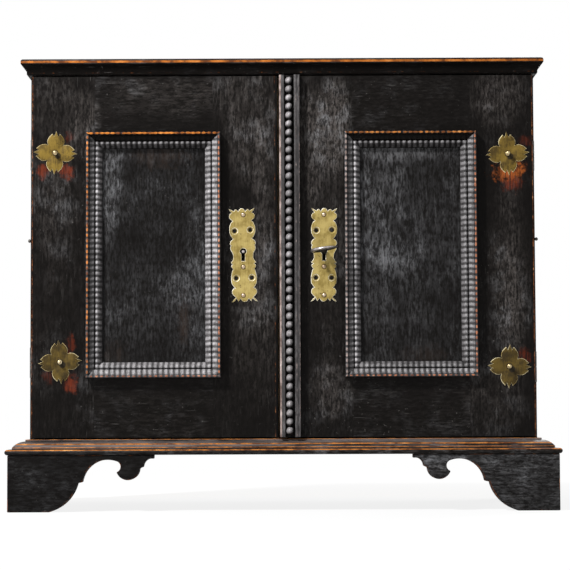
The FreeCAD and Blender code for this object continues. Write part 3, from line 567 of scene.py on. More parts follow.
# Worn arrises of the base moulding: out from the carcase and up from its foot, in millimetres
baseArrises = (
    {"out": 2.0, "rise": 15.0, "reach": 0.8, "strength": 0.70},
    {"out": 4.6, "rise": 12.4, "reach": 0.7, "strength": 0.35},
    {"rise": 10.4, "reach": 1.1, "strength": 0.72},
    {"out": 13.6, "rise": 7.3, "reach": 0.75, "strength": 0.85},
    {"out": 19.0, "rise": 4.9, "reach": 1.25, "strength": 1.35},
)


def baseLines(axis, sign, plane):
    lines = []
    for arris in baseArrises:
        at = {"Z": baseLow.z + arris["rise"] * mm}
        if "out" in arris:
            at[axis] = plane + sign * arris["out"] * mm
        lines.append({"at": at, "reach": arris["reach"] * mm, "strength": arris["strength"]})
    return lines


footRub = {
    "left": {"seed": 5, "rub": 0.35},
    "right": {"seed": 5.5, "rub": 1.5},
}
# Dust lies on the base moulding's steps, and its pale colour partly stands for painted light falling from above
baseDustAndTopLight = {"strength": 0.85, "colour": (0.165, 0.140, 0.134), "from": baseLow.z + 5.6 * mm}


def makeWoodFinishes():
    made["top"] = ebonised("top_wood", "x", 1, 0.9, alongLines(topLines), bare="copper")
    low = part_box("cornice_front")[0]
    line = {"at": {"Z": low.z + 2.2 * mm}, "reach": 0.7 * mm, "strength": 0.30}
    # The cornice is painted near-black as the shade under the top's overhang
    made["cornice"] = ebonised("cornice_wood", "x", 2, 0.12, alongLines([line]), finish="deepShade", bare="brown")
    made["corniceEnd"] = ebonised("cornice_end_wood", "y", 2.5, 0.12, finish="deepShade")
    made["baseFront"] = ebonised("base_front_wood", "x", 3, 0.9, alongLines(baseLines("Y", -1, faceY)),
                                 bare="amber", dustAndTopLight=baseDustAndTopLight)
    made["baseEnds"] = ebonised("base_end_wood", "y", 4, 0.9, alongLines(baseLines("absX", 1, halfWidth)),
                                bare="amber", dustAndTopLight=baseDustAndTopLight)
    for side, foot in footRub.items():
        wood = ebonised("foot_front_wood_" + side, "x", foot["seed"], foot["rub"], finish="panel")
        made["footFront" + side.title()] = wood
    made["footSide"] = ebonised("foot_side_wood", "y", 6, 0.6)
    made["footEdge"] = ebonised("foot_edge_wood", "x", 7, 0.8, evenWear(0.62), bare="brown")
    made["side"] = ebonised("side_wood", "z", 8, 1.0)
    made["board"] = ebonised("board_wood", "x", 9, 0.8)
    made["bareUp"] = softwood("softwood_upright", "z", 1)
    made["bareAcross"] = softwood("softwood_across", "x", 2)


makeWoodFinishes()
made["iron"] = steel("dark_iron", (0.035, 0.031, 0.028), (0.12, 0.11, 0.10), 0.42, 3.0)
# Near-black iron, used on the key's shank as painted shade
made["blackIron"] = steel("shaded_key_iron", (0.010, 0.009, 0.008), (0.030, 0.027, 0.025), 0.50, 4.0)
made["keySteel"] = steel("key_steel", (0.27, 0.245, 0.24), (0.52, 0.48, 0.47), 0.24, 5.0)
print("finishes made")


# How far arrises are eased, in millimetres
easing = {"top": 0.35, "cornice": 0.25, "base": 0.3, "feet": 0.7, "rearFeet": 0.5}


# Top board, cornice and base moulding
def makeMouldings():
    eased("top_board", [made["top"]], easing["top"] * mm)
    for side in ("front", "left", "right"):
        corniceWood = made["cornice"] if side == "front" else made["corniceEnd"]
        eased("cornice_" + side, [corniceWood], easing["cornice"] * mm)
        baseWood = made["baseFront"] if side == "front" else made["baseEnds"]
        eased("base_moulding_" + side, [baseWood], easing["base"] * mm)


def makeFeet():
    for side in sides:
        eased("front_bracket_" + side, [made["footFront" + side.title()], made["footEdge"]], easing["feet"] * mm)
        eased("side_brackets_" + side, [made["footSide"], made["footEdge"]], easing["feet"] * mm)
    eased("rear_brackets", [made["bareAcross"]], easing["rearFeet"] * mm)


makeMouldings()
makeFeet()
print("mouldings and feet made")

# Doors
patchOrange = (0.33, 0.085, 0.018)
patchRed = (0.150, 0.026, 0.010)
patchBrown = (0.026, 0.018, 0.014)
patchDepth = 8 * mm
# Offsets from the rosette beside each patch
stainPatches = {
    "left": (
        {"beside": 1, "right": 11, "up": -19, "width": 10, "height": 9, "strength": 0.85, "colour": patchRed},
        {"beside": 1, "right": -12, "up": -18, "width": 7, "height": 9, "strength": 0.80, "colour": patchRed},
        {"beside": 1, "right": 14, "up": 15, "width": 6, "height": 7, "strength": 0.30, "colour": patchRed},
        {"beside": 0, "right": 10, "up": -21, "width": 8, "height": 10, "strength": 0.75, "colour": patchRed},
        {"beside": 0, "right": 11, "up": 17, "width": 6, "height": 10, "strength": 0.60, "colour": patchRed},
        {"beside": 0, "right": -12, "up": -14, "width": 6, "height": 8, "strength": 0.25, "colour": patchRed},
    ),
    "right": (
        {"beside": 1, "right": 1, "up": -18, "width": 17, "height": 12, "strength": 0.95, "colour": patchOrange},
        {"beside": 1, "right": 4, "up": -29, "width": 13, "height": 10, "strength": 0.60, "colour": patchRed},
        {"beside": 1, "right": 17, "up": 12, "width": 8, "height": 6, "strength": 0.30, "colour": patchRed},
        {"beside": 0, "right": 15, "up": 10, "width": 8, "height": 10, "strength": 0.40, "colour": patchRed},
    ),
}


def patchesOf(side):
    centres = [(low + high) / 2 for low, high in solidsAlong("rosettes_" + side, "Z")]
    patches = []
    for patch in stainPatches[side]:
        centre = centres[patch["beside"]]
        patches.append({
            "x": centre.x + patch["right"] * mm,
            "z": centre.z + patch["up"] * mm,
            "width": patch["width"] * mm,
            "height": patch["height"] * mm,
            "strength": patch["strength"],
            "colour": patch["colour"],
            "ragged": 2.5,
            "depth": patchDepth,
        })
    return patches


# Worn lines down the stiles, shifted from the outer or the free edge
stileWear = {
    "outer": {"shift": 0.0, "reach": 1.3, "strength": 0.50},
    "inner": {"shift": -2.6, "reach": 0.9, "strength": 0.36},
}


def stileEdge(kind, side):
    low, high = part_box(kind + "_stile_" + side)
    atRight = (side == "right") == (kind == "outer")
    look = stileWear[kind]
    x = (high.x if atRight else low.x) + look["shift"] * mm
    return alongLines([{"at": {"X": x, "Y": faceY}, "reach": look["reach"] * mm, "strength": look["strength"]}])


# The meeting edge of the left door, painted black as the shadow in the gap between the doors
def meetingEdge():
    low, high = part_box("inner_stile_left")
    return {
        "x": high.x, "z": (low.z + high.z) / 2, "width": 3.0 * mm, "height": 4.0, "ragged": 0.25,
        "strength": 1.0, "colour": (0.0006, 0.0005, 0.0005), "depth": 40 * mm,
    }


def dress(node, material):
    piece = frame["nodes"][node]
    piece.data.materials.clear()
    piece.data.materials.append(material)


# How far each door's frame and panel are rubbed, and the spots that are rubbed more
doorRub = {
    "left": {
        "frame": 0.24,
        "frameSpots": (
            (-196, 380, 15, 32, 1.9), (-226, 402, 26, 30, 0.65), (-105, 408, 60, 20, 0.75), (-34, 388, 26, 66, 1.2),
            (-19, 300, 10, 80, 1.6), (-27, 165, 22, 60, 0.95), (-225, 300, 22, 70, 0.35),
        ),
        "panel": 0.50,
        "browned": ((-122, 350, 34, 16, 0.55), (-97, 186, 7, 30, 0.75), (-165, 150, 16, 20, 0.45)),
        "panelSpots": ((-173, 322, 13, 62, 1.25), (-130, 185, 60, 60, 0.50), (-88, 210, 14, 110, 0.30),
                       (-125, 358, 55, 14, 0.9)),
    },
    "right": {
        "frame": 0.20,
        "frameSpots": (
            (50, 378, 17, 48, 1.6), (46, 119, 20, 28, 1.1), (213, 409, 26, 34, 1.3), (224, 235, 18, 90, 1.3),
            (208, 112, 30, 34, 0.6), (44, 260, 24, 90, 0.6), (29, 355, 13, 64, 1.8),
        ),
        "panel": 0.95,
        "browned": ((70, 190, 6, 60, 0.35), (140, 150, 30, 14, 0.35)),
        "panelSpots": ((98, 335, 34, 56, 1.15), (158, 300, 26, 70, 0.9), (112, 200, 40, 66, 0.8),
                       (112, 357, 60, 15, 2.4)),
    },
}


def makeDoors():
    for seed, side in enumerate(sides):
        rub = rubMap(doorRub[side]["frame"], doorRub[side]["frameSpots"])
        panelRub = rubMap(doorRub[side]["panel"], doorRub[side]["panelSpots"])
        outer = ebonised("outer_stile_wood_" + side, "z", 11 + seed, rub, stileEdge("outer", side),
                         patchesOf(side), bare="brown")
        inner = ebonised("inner_stile_wood_" + side, "z", 13 + seed, rub, stileEdge("inner", side),
                         [meetingEdge()] if side == "left" else [], bare="brown")
        dress("outer_stile_" + side, outer)
        dress("inner_stile_" + side, inner)
        dress("upper_rail_" + side, ebonised("upper_rail_wood_" + side, "x", 15 + seed, rub))
        dress("lower_rail_" + side, ebonised("lower_rail_wood_" + side, "x", 17 + seed, rub))
        browned = []
        for x, z, width, height, strength in doorRub[side]["browned"]:
            browned.append({
                "x": x * mm, "z": z * mm, "width": width * mm, "height": height * mm, "ragged": 2.0,
                "strength": strength, "colour": patchBrown, "depth": patchDepth,
            })
        panelWood = ebonised("panel_wood_" + side, "z", 19 + seed, panelRub, None, browned, finish="panel")
        dress("panel_" + side, panelWood)


def dressCarcase():
    for side in sides:
        dress("side_" + side, made["side"])
        dress("shelf_" + side, made["bareAcross"])
        for name in ("door_straps_", "carcase_leaves_", "hinge_pins_", "lock_case_", "lock_bolt_"):
            dress(name + side, made["iron"])
    for node in ("bottom_board", "carcase_head"):
        dress(node, made["board"])
    for node in ("back_panel", "foot_blocks"):
        dress(node, made["bareAcross"])
    dress("partition", made["bareUp"])


makeDoors()
dressCarcase()
print("doors and carcase dressed")

# Ripple mouldings. Across a run: distance in from the outer edge and height over the door, in millimetres.
ripple = {
    "pitch": 5.3,
    "stepsPerWave": 8,
    "swell": 0.62,
    "swellDrop": 0.6,
    "waveStart": 2.0,
    "waveEntry": 1.2,
    "entryShare": 0.25,
    "waveEnd": 15.4,
    "waveFloor": 4.0,
    "floorSlope": 0.36,
    "footRise": 1.5,
    "wornAt": (1.3, 9.7),
    "wornReach": 1.4,
    # How far the pale painted highlight on each wave is set towards the lamp, in radians of the wave
    "highlightLead": 0.6,
    "section": (
        (0.0, 0.0), (0.0, 9.0), (0.25, 9.6), (0.8, 10.0), (1.5, 10.0), (2.1, 9.8), (2.7, 9.2), (3.1, 8.4),
        (3.8, 7.3), (4.7, 6.5), (5.6, 6.0), (6.5, 5.6), (7.3, 5.4), (7.9, 5.1), (8.2, 4.2), (8.5, 3.5),
        (8.8, 3.8), (9.2, 4.4), (10.0, 4.9), (10.9, 4.8), (11.9, 4.2), (12.9, 3.2), (13.8, 1.9), (14.5, 0.6),
        (15.0, -0.6), (15.4, -1.6), (15.5, -2.1), (15.5, -2.9), (7.6, -2.9), (7.6, 0.0),
    ),
}


def wavesIn(length):
    return max(1, round(length / (ripple["pitch"] * mm)))


# One straight run with mitred ends, added to a frame's mesh
def rippleRun(whole, length, place, slot):
    bm = bmesh.new()
    rim = addLoop(bm, [(-length / 2, u * mm, h * mm) for u, h in ripple["section"]])
    drawn = bmesh.ops.extrude_edge_only(bm, edges=rim)
    ends = [item for item in drawn["geom"] if isinstance(item, bmesh.types.BMVert)]
    bmesh.ops.translate(bm, verts=ends, vec=Vector((length, 0, 0)))
    waves = wavesIn(length)
    rails = [edge for edge in bm.edges if edge.calc_length() > length * 0.9]
    bmesh.ops.subdivide_edges(bm, edges=rails, cuts=waves * ripple["stepsPerWave"] - 1, use_grid_fill=True)
    for vertex in bm.verts:
        u = vertex.co.y / mm
        floor = (ripple["waveFloor"] - u * ripple["floorSlope"]) * mm
        if ripple["waveStart"] <= u <= ripple["waveEnd"] and vertex.co.z > floor:
            entry = min(1.0, (u - ripple["waveStart"]) / ripple["waveEntry"] + ripple["entryShare"])
            wave = math.cos(fullTurn * waves * (vertex.co.x / length + 0.5))
            vertex.co.z += ripple["swell"] * entry * (wave - ripple["swellDrop"]) * mm
    for sign in (-1, 1):
        cut = bmesh.ops.bisect_plane(
            bm, geom=bm.verts[:] + bm.edges[:] + bm.faces[:], dist=0.0005 * mm,
            plane_co=Vector((sign * length / 2, 0, 0)), plane_no=Vector((sign, 1, 0)).normalized(), clear_outer=True,
        )
        rim = [item for item in cut["geom_cut"] if isinstance(item, bmesh.types.BMEdge)]
        bmesh.ops.edgenet_fill(bm, edges=rim, mat_nr=0, use_smooth=False, sides=0)
    bmesh.ops.transform(bm, matrix=place, verts=bm.verts)
    for face in bm.faces:
        face.material_index = slot
    run = bpy.data.meshes.new("ripple_run")
    bm.to_mesh(run)
    bm.free()
    whole.from_mesh(run)
    bpy.data.meshes.remove(run)


# Lays a run along one side of a frame: the direction of the run, and the direction in towards the panel
def runPlace(middle, along, inward):
    out = Vector((0, -1, 0))
    matrix = Matrix((along, inward, out)).transposed().to_4x4()
    return Matrix.Translation(middle) @ matrix


# Wear on the outer crest, its kind, how pale the run is, as rubbing and painted light, how pale its hollows are, and
# its bands, for the two runs of each piece, the lower or left one first
crestWearAndLight = {
    "rails_left": ((0.66, "russet", 1.00, 0.34, "lit"), (1.25, "orange", 0.70, 0.15, "top")),
    "rails_right": ((0.66, "russet", 0.56, 0.32, "lit"), (1.00, "amber", 0.66, 0.15, "top")),
    "uprights_left": ((0.85, "orange", 1.15, 0.24, "left"), (0.72, "russet", 1.00, 0.36, "lit")),
    "uprights_right": ((0.85, "chalky", 1.50, 0.24, "left"), (0.78, "russet", 0.58, 0.32, "lit")),
}
# Bands across a run, pale from rubbing and from painted light, fuller on the runs lit by the lamp: from, to and amount
litAndRubbedBands = {
    "lit": ((0.0, 2.4, 0.35), (2.8, 8.0, 1.0), (9.1, 15.0, 1.0)),
    "left": ((0.0, 2.4, 0.35), (3.4, 7.7, 0.34), (9.1, 11.3, 1.0), (11.3, 15.0, 0.50)),
    "top": ((0.0, 2.4, 0.25), (9.1, 11.3, 1.0), (11.3, 15.0, 0.30)),
}


# Pale crests between black hollows, partly rubbing and partly a painted highlight set a little towards the lamp: along
# the run by the beat, and across it by the bands
def crestMask(beat, edge, pale, hollow, bands):
    def mask(place):
        axis, start, pitch = beat
        highlightLead = ripple["highlightLead"] if axis == "Z" else -ripple["highlightLead"]
        turn = (place.along(axis) - start) * (fullTurn / pitch) - highlightLead
        rubbed = turn.maths("COSINE", turn).rise(-0.7, 0.5) * (1.0 - hollow) + hollow
        edgeAxis, value, inward = edge
        depth = (place.along(edgeAxis) - value) * inward
        total = 0.0
        for low, high, amount in bands:
            inside = depth.rise((low - 0.3) * mm, (low + 0.4) * mm) * depth.rise((high + 0.4) * mm, (high - 0.3) * mm)
            total = (inside * amount).most(total)
        uneven = place.noise(*woodMarks["uneven"]).rise(0.34, 0.62) * 0.55 + 0.45
        return total * rubbed * uneven * pale
    return mask


def makeRipples():
    right, up = Vector((1, 0, 0)), Vector((0, 0, 1))
    seed = 21
    for side in sides:
        low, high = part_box("ripple_uprights_" + side)
        x0, x1, z0, z1 = low.x, high.x, low.z + ripple["footRise"] * mm, high.z
        middleX, middleZ = (x0 + x1) / 2, (z0 + z1) / 2
        places = {
            "rails": (
                (x1 - x0, Vector((middleX, faceY, z0)), right, up, {"Z": z0}, ("X", x0)),
                (x1 - x0, Vector((middleX, faceY, z1)), -right, -up, {"Z": z1}, ("X", x0)),
            ),
            "uprights": (
                (z1 - z0, Vector((x0, faceY, middleZ)), -up, right, {"X": x0}, ("Z", z0)),
                (z1 - z0, Vector((x1, faceY, middleZ)), up, -right, {"X": x1}, ("Z", z0)),
            ),
        }
        for kind, runs in places.items():
            name = "ripple_" + kind + "_" + side
            bm = bmesh.new()
            woods = []
            for index, (length, middle, along, inward, edge, start) in enumerate(runs):
                rippleRun(bm, length, runPlace(middle, along, inward), index)
                strength, bare, pale, hollow, bands = crestWearAndLight[kind + "_" + side][index]
                pitch = length / wavesIn(length)
                axis, value = next(iter(edge.items()))
                inwardSign = math.copysign(1.0, inward.x if axis == "X" else inward.z)
                mask = crestMask((*start, pitch), (axis, value, inwardSign), pale, hollow, litAndRubbedBands[bands])
                depth, height = ripple["wornAt"]
                line = {
                    "at": {"Y": faceY - height * mm, axis: value + inwardSign * depth * mm},
                    "reach": ripple["wornReach"] * mm, "strength": strength, "beat": (*start, pitch),
                }
                grain = "x" if kind == "rails" else "z"
                finish = "rippleTop" if bands == "top" else "ripple"
                woods.append(ebonised(name + "_wood_" + str(index), grain, seed, 0.9, alongLines([line]),
                                      finish=finish, bare=bare, paleCrestAndHighlight=mask))
                seed += 1
            newPiece("ripple_" + kind + "_cut_" + side, bm, woods, name, None, 60.0)


makeRipples()
print("ripple mouldings made")

# Beaded strip. Widths across it and heights over the door, in millimetres.
strip = {
    "leftFillet": 5.0,
    "rightFillet": 5.4,
    "rightStep": 2.9,
    "bed": 5.0,
    "leftHeight": 8.0,
    "rightHeight": 9.2,
    "stepHeight": 8.5,
    "ease": 0.55,
    "easeAbove": 5.5,
    "bedOverlap": 0.4,
    "bedTop": 7.4,
    "beadSteps": (18, 12),
    "beadWidth": 8.0,
    "beadStand": 5.3,
    "beadPitch": 8.6,
    "beadShare": 0.475,
    # How far the painted highlight on each bead is set to the upper left
    "highlightShift": 0.46,
    "endMargin": 1.5,
    # Worn arrises: in from which edge, at which height, reach and strength. The left one is pale, partly wear and
    # partly a painted highlight where the eased edge catches the light.
    "worn": (
        ("left", 0.3, "leftHeight", 2.3, 0.80),
        ("right", 3.6, "rightHeight", 1.2, 0.34),
        ("right", 0.0, "stepHeight", 1.3, 0.42),
    ),
}


# Each bead is painted pale on its crown as a highlight, set a little to the upper left towards the lamp
def beadMask(x, start, pitch):
    def mask(place):
        across = (place.along("X") - x) * (2 / (strip["beadWidth"] * mm)) + strip["highlightShift"]
        turn = (place.along("Z") - start) * (1 / pitch)
        up = (turn.maths("FRACT", turn) - 0.5) * 2.0 - strip["highlightShift"]
        return (across * across + up * up).rise(1.5, 0.15)
    return mask


def makeStrip():
    low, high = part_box("beaded_strip")
    x0, x1 = low.x, high.x
    section = (
        (0, 0), (0, strip["leftHeight"]), (strip["leftFillet"], strip["leftHeight"]),
        (strip["leftFillet"], strip["bed"]), ((x1 - x0) / mm - strip["rightFillet"], strip["bed"]),
        ((x1 - x0) / mm - strip["rightFillet"], strip["rightHeight"]),
        ((x1 - x0) / mm - strip["rightStep"], strip["rightHeight"]),
        ((x1 - x0) / mm - strip["rightStep"] + 0.5, strip["stepHeight"]),
        ((x1 - x0) / mm, strip["stepHeight"]), ((x1 - x0) / mm, 0),
    )
    bm = bmesh.new()
    corners = [bm.verts.new((x0 + u * mm, faceY - h * mm, low.z)) for u, h in section]
    foot = bm.faces.new(corners)
    drawn = bmesh.ops.extrude_face_region(bm, geom=[foot])
    raised = [item for item in drawn["geom"] if isinstance(item, bmesh.types.BMVert)]
    bmesh.ops.translate(bm, verts=raised, vec=Vector((0, 0, high.z - low.z)))
    bmesh.ops.recalc_face_normals(bm, faces=bm.faces)
    front = [edge for edge in bm.edges if max(vertex.co.y for vertex in edge.verts) < faceY - strip["easeAbove"] * mm]
    bmesh.ops.bevel(
        bm, geom=front, offset=strip["ease"] * mm, offset_type="OFFSET", affect="EDGES", segments=3,
        profile=0.5, material=-1, clamp_overlap=True,
    )
    bedLeft = x0 + (strip["leftFillet"] - strip["bedOverlap"]) * mm
    bedRight = x1 - (strip["rightFillet"] - strip["bedOverlap"]) * mm
    for face in bm.faces:
        centre = face.calc_center_median()
        if bedLeft < centre.x < bedRight and centre.y > faceY - strip["bedTop"] * mm:
            face.material_index = 1
    row = high.z - low.z - strip["endMargin"] * 2 * mm
    count = round(row / (strip["beadPitch"] * mm))
    pitch = row / count
    beadX = (x0 + strip["leftFillet"] * mm + x1 - strip["rightFillet"] * mm) / 2
    for index in range(count):
        centre = Vector((beadX, faceY - strip["bed"] * mm, low.z + strip["endMargin"] * mm + pitch * (index + 0.5)))
        size = Matrix.Diagonal((strip["beadWidth"] * mm / 2, strip["beadStand"] * mm, pitch * strip["beadShare"], 1))
        around, down = strip["beadSteps"]
        ball = bmesh.ops.create_uvsphere(bm, u_segments=around, v_segments=down, radius=1.0,
                                         matrix=Matrix.Translation(centre) @ size)
        for face in {face for vertex in ball["verts"] for face in vertex.link_faces}:
            face.material_index = 2
    lines = []
    for edge, inset, height, reach, strength in strip["worn"]:
        x = x0 + inset * mm if edge == "left" else x1 - inset * mm
        lines.append({"at": {"X": x, "Y": faceY - strip[height] * mm}, "reach": reach * mm, "strength": strength})
    wood = ebonised("strip_wood", "z", 31, 0.8, alongLines(lines), finish="polished", bare="chalky")
    # The bed beside the beads is painted near-black as the shade between the fillets
    bed = ebonised("strip_bed_shade_wood", "z", 32, 0.2, finish="deepShade")
    beads = ebonised("bead_wood", "z", 33, 1.0, finish="bead",
                     paleCrestAndHighlight=beadMask(beadX, low.z + strip["endMargin"] * mm, pitch))
    newPiece("beaded_strip_turned", bm, [wood, bed, beads], "beaded_strip", None, 50.0)


makeStrip()
print("beaded strip made")

# Rosettes: the quarter outline of one petal, as shares of the radius
rosette = {
    "rings": (1.0, 1.0, 0.97, 0.91, 0.84, 0.76, 0.68, 0.60, 0.51, 0.42, 0.32, 0.20, 0.08),
    "edgeHeight": 0.10,
    "flatHeight": 0.26,
    "crown": 0.74,
    "crownAt": 0.60,
    "crownReach": 0.40,
    "start": (0.345, 0.345),
    "petal": ((0.385, 0.47), (0.375, 0.60), (0.315, 0.72), (0.235, 0.81), (0.175, 0.875), (0.125, 0.80),
              (0.105, 0.74), (0.075, 0.80), (0.03, 0.92), (0.0, 1.0)),
    "tilts": {"left": (4.0, -3.0), "right": (-2.0, 3.5)},
    "plateShare": 0.99,
    # Darkening over each whole rosette, stronger on the lower one: strength for the lower and the upper
    "gloom": {"left": (0.55, 0.10), "right": (0.58, 0.25)},
    "gloomShare": 0.9,
    # A dirt ring round the rivet, and a painted shadow of the rivet to its lower right: right and up of it, radius and
    # strength
    "dirtAndShade": ((0.0, 0.0, 2.4, 0.85), (2.6, -2.8, 2.5, 0.9)),
}


def rosetteLoop(centre, radius, tilt):
    half = list(rosette["petal"])
    petal = [rosette["start"]] + half + [(-u, v) for u, v in reversed(half[:-1])]
    places = []
    for quarter in range(4):
        turn = quarterTurn * quarter + math.radians(tilt)
        for u, v in petal:
            x = u * math.cos(turn) - v * math.sin(turn)
            z = u * math.sin(turn) + v * math.cos(turn)
            places.append(centre + Vector((x, 0, z)) * radius)
    return places


# A plate of four crowned petals: rings of its outline, drawn in towards the middle
def petalPlate(bm, centre, radius, tilt):
    unturn = Matrix.Rotation(math.radians(tilt), 3, "Y")
    outline = rosetteLoop(Vector((0, 0, 0)), radius, tilt)
    crownAt, crownReach = rosette["crownAt"] * radius, rosette["crownReach"] * radius
    loops = []
    for index, share in enumerate(rosette["rings"]):
        places = []
        for spot in outline:
            offset = spot * share
            folded = unturn @ offset
            across, up = abs(folded.x), abs(folded.z)
            away = min(math.hypot(across - crownAt, up), math.hypot(across, up - crownAt)) / crownReach
            height = rosette["flatHeight"] + rosette["crown"] * max(0.0, 1.0 - away * away)
            height = (0.0, rosette["edgeHeight"], height)[min(index, 2)]
            places.append(centre + offset - Vector((0, height * mm, 0)))
        loops.append(addLoop(bm, places))
    for index, (outer, inner) in enumerate(zip(loops, loops[1:])):
        bridged = bmesh.ops.bridge_loops(bm, edges=outer + inner)
        for face in bridged["faces"]:
            face.material_index = 1 if index < 2 else 0
    bmesh.ops.contextual_create(bm, geom=loops[-1])
    bmesh.ops.triangle_fill(bm, use_beauty=True, use_dissolve=False, edges=loops[0])


def makeRosettes():
    for seed, side in enumerate(sides):
        bm = bmesh.new()
        dirtAndShade = []
        for index, (low, high) in enumerate(solidsAlong("rosettes_" + side, "Z")):
            middle = middleOf((low, high), faceY)
            radius = (high.z - low.z) / 2
            petalPlate(bm, middle, radius * rosette["plateShare"], rosette["tilts"][side][index])
            for right, up, reach, strength in rosette["dirtAndShade"]:
                dirtAndShade.append((middle.x + right * mm, middle.z + up * mm, reach * mm, strength))
            dirtAndShade.append((middle.x, middle.z, radius * rosette["gloomShare"], rosette["gloom"][side][index]))
        face = brass("rosette_brass_" + side, "olive", 2.0 + seed, "face", dirtAndShade)
        rim = brass("rosette_rim_brass_" + side, "olive", 2.0 + seed, "rim")
        newPiece("rosettes_cut_" + side, bm, [face, rim], "rosettes_" + side)


# Rivets through the rosettes and nails through the escutcheons: profiles of their heads, and the height of their seats
studs = {
    "rivet": {
        "node": "rosette_rivets_", "seat": 0.6, "steps": 24, "seed": 4.0,
        "profile": (
            (0.0, 0.0), (0.0, 2.1), (0.5, 2.1), (0.9, 1.3), (2.0, 1.1), (3.2, 1.1), (3.5, 1.4), (4.0, 1.75),
            (4.8, 1.85), (5.4, 1.6), (5.9, 0.9), (6.05, 0.0),
        ),
    },
    "nail": {
        "node": "escutcheon_nails_", "seat": 1.0, "steps": 18, "seed": 6.0,
        "profile": ((0.0, 0.0), (0.0, 1.95), (0.3, 1.9), (0.7, 1.6), (1.05, 0.95), (1.2, 0.0)),
    },
}


def makeStuds():
    for seed, side in enumerate(sides):
        for kind, stud in studs.items():
            bm = bmesh.new()
            for box in solidsAlong(stud["node"] + side, "Z"):
                addSpun(bm, stud["profile"], middleOf(box, faceY - stud["seat"] * mm), outward, stud["steps"])
            heads = brass(kind + "_brass_" + side, kind, stud["seed"] + seed)
            newPiece(stud["node"] + "turned_" + side, bm, [heads], stud["node"] + side)


# Escutcheons: half the outline from the top down, as shares of half the width and of the height
escutcheon = {
    "thickness": 1.0,
    "rim": 0.42,
    "rimDrop": 0.36,
    "start": (0.0, 0.004),
    "half": (
        (0.10, 0.006), (0.20, 0.022), (0.27, 0.040), (0.33, 0.026), (0.44, 0.016), (0.52, 0.020), (0.60, 0.034),
        (0.78, 0.020), (1.0, 0.006), (0.90, 0.030), (0.76, 0.052), (0.90, 0.060), (0.985, 0.080), (0.985, 0.100),
        (0.90, 0.120), (0.76, 0.132), (0.72, 0.142), (0.84, 0.152, 0.99, 0.200), (1.0, 0.240, 0.94, 0.280),
        (0.82, 0.312, 0.70, 0.326), (0.82, 0.336), (0.94, 0.352), (1.0, 0.378), (0.97, 0.392), (0.90, 0.396),
        (0.965, 0.410), (0.96, 0.440), (0.86, 0.466), (0.78, 0.490), (0.76, 0.530), (0.84, 0.556), (0.98, 0.580),
        (0.90, 0.588), (0.80, 0.592), (0.92, 0.602), (0.955, 0.618), (0.90, 0.634), (0.76, 0.650), (0.72, 0.656),
        (0.92, 0.680, 0.985, 0.730), (0.985, 0.775, 0.92, 0.806), (0.82, 0.830, 0.70, 0.846), (0.84, 0.852),
        (0.955, 0.872), (0.965, 0.900), (0.86, 0.922), (0.74, 0.938), (0.66, 0.946), (0.80, 0.962), (1.0, 0.994),
        (0.80, 0.986), (0.60, 0.958), (0.55, 0.972), (0.50, 0.990), (0.40, 0.974), (0.32, 0.960), (0.24, 0.976),
        (0.14, 0.990), (0.0, 0.994),
    ),
    "eyes": ((-0.60, 0.243), (0.60, 0.237), (-0.60, 0.742), (0.60, 0.742)),
    "outlineShare": (0.955, 0.99),
    "eyeRadius": 3.0,
    "eyeTaper": 0.70,
    "holeSteps": 22,
    "arcSteps": 5,
    # A ring of dirt and painted shade round each nail head: radius and strength
    "nailDirtAndShade": (1.95, 0.85),
    "keyholeRadius": 3.1,
    "slotWidth": 3.4,
    "slotDrop": 9.5,
    "tilts": {"left": -1.9, "right": 0.7},
}


def keyholeLoop(x, z, y):
    radius = escutcheon["keyholeRadius"] * mm
    half = escutcheon["slotWidth"] * mm / 2
    drop = escutcheon["slotDrop"] * mm
    slotTurn = math.asin(half / radius)
    places = [Vector((x + half, y, z - drop)), Vector((x - half, y, z - drop))]
    count = escutcheon["holeSteps"]
    for index in range(count + 1):
        turn = -quarterTurn - slotTurn - (fullTurn - slotTurn * 2) * index / count
        places.append(Vector((x + radius * math.cos(turn), y, z + radius * math.sin(turn))))
    return places


# Narrows an eye towards the wood, so that its wall shows
def funnel(bm, eye):
    reach = escutcheon["eyeRadius"] * 1.1 * mm
    near = [vertex for vertex in bm.verts if math.hypot(vertex.co.x - eye.x, vertex.co.z - eye.z) < reach]
    for vertex in near:
        if vertex.co.y > faceY - 0.1 * mm:
            vertex.co.x = eye.x + (vertex.co.x - eye.x) * escutcheon["eyeTaper"]
            vertex.co.z = eye.z + (vertex.co.z - eye.z) * escutcheon["eyeTaper"]


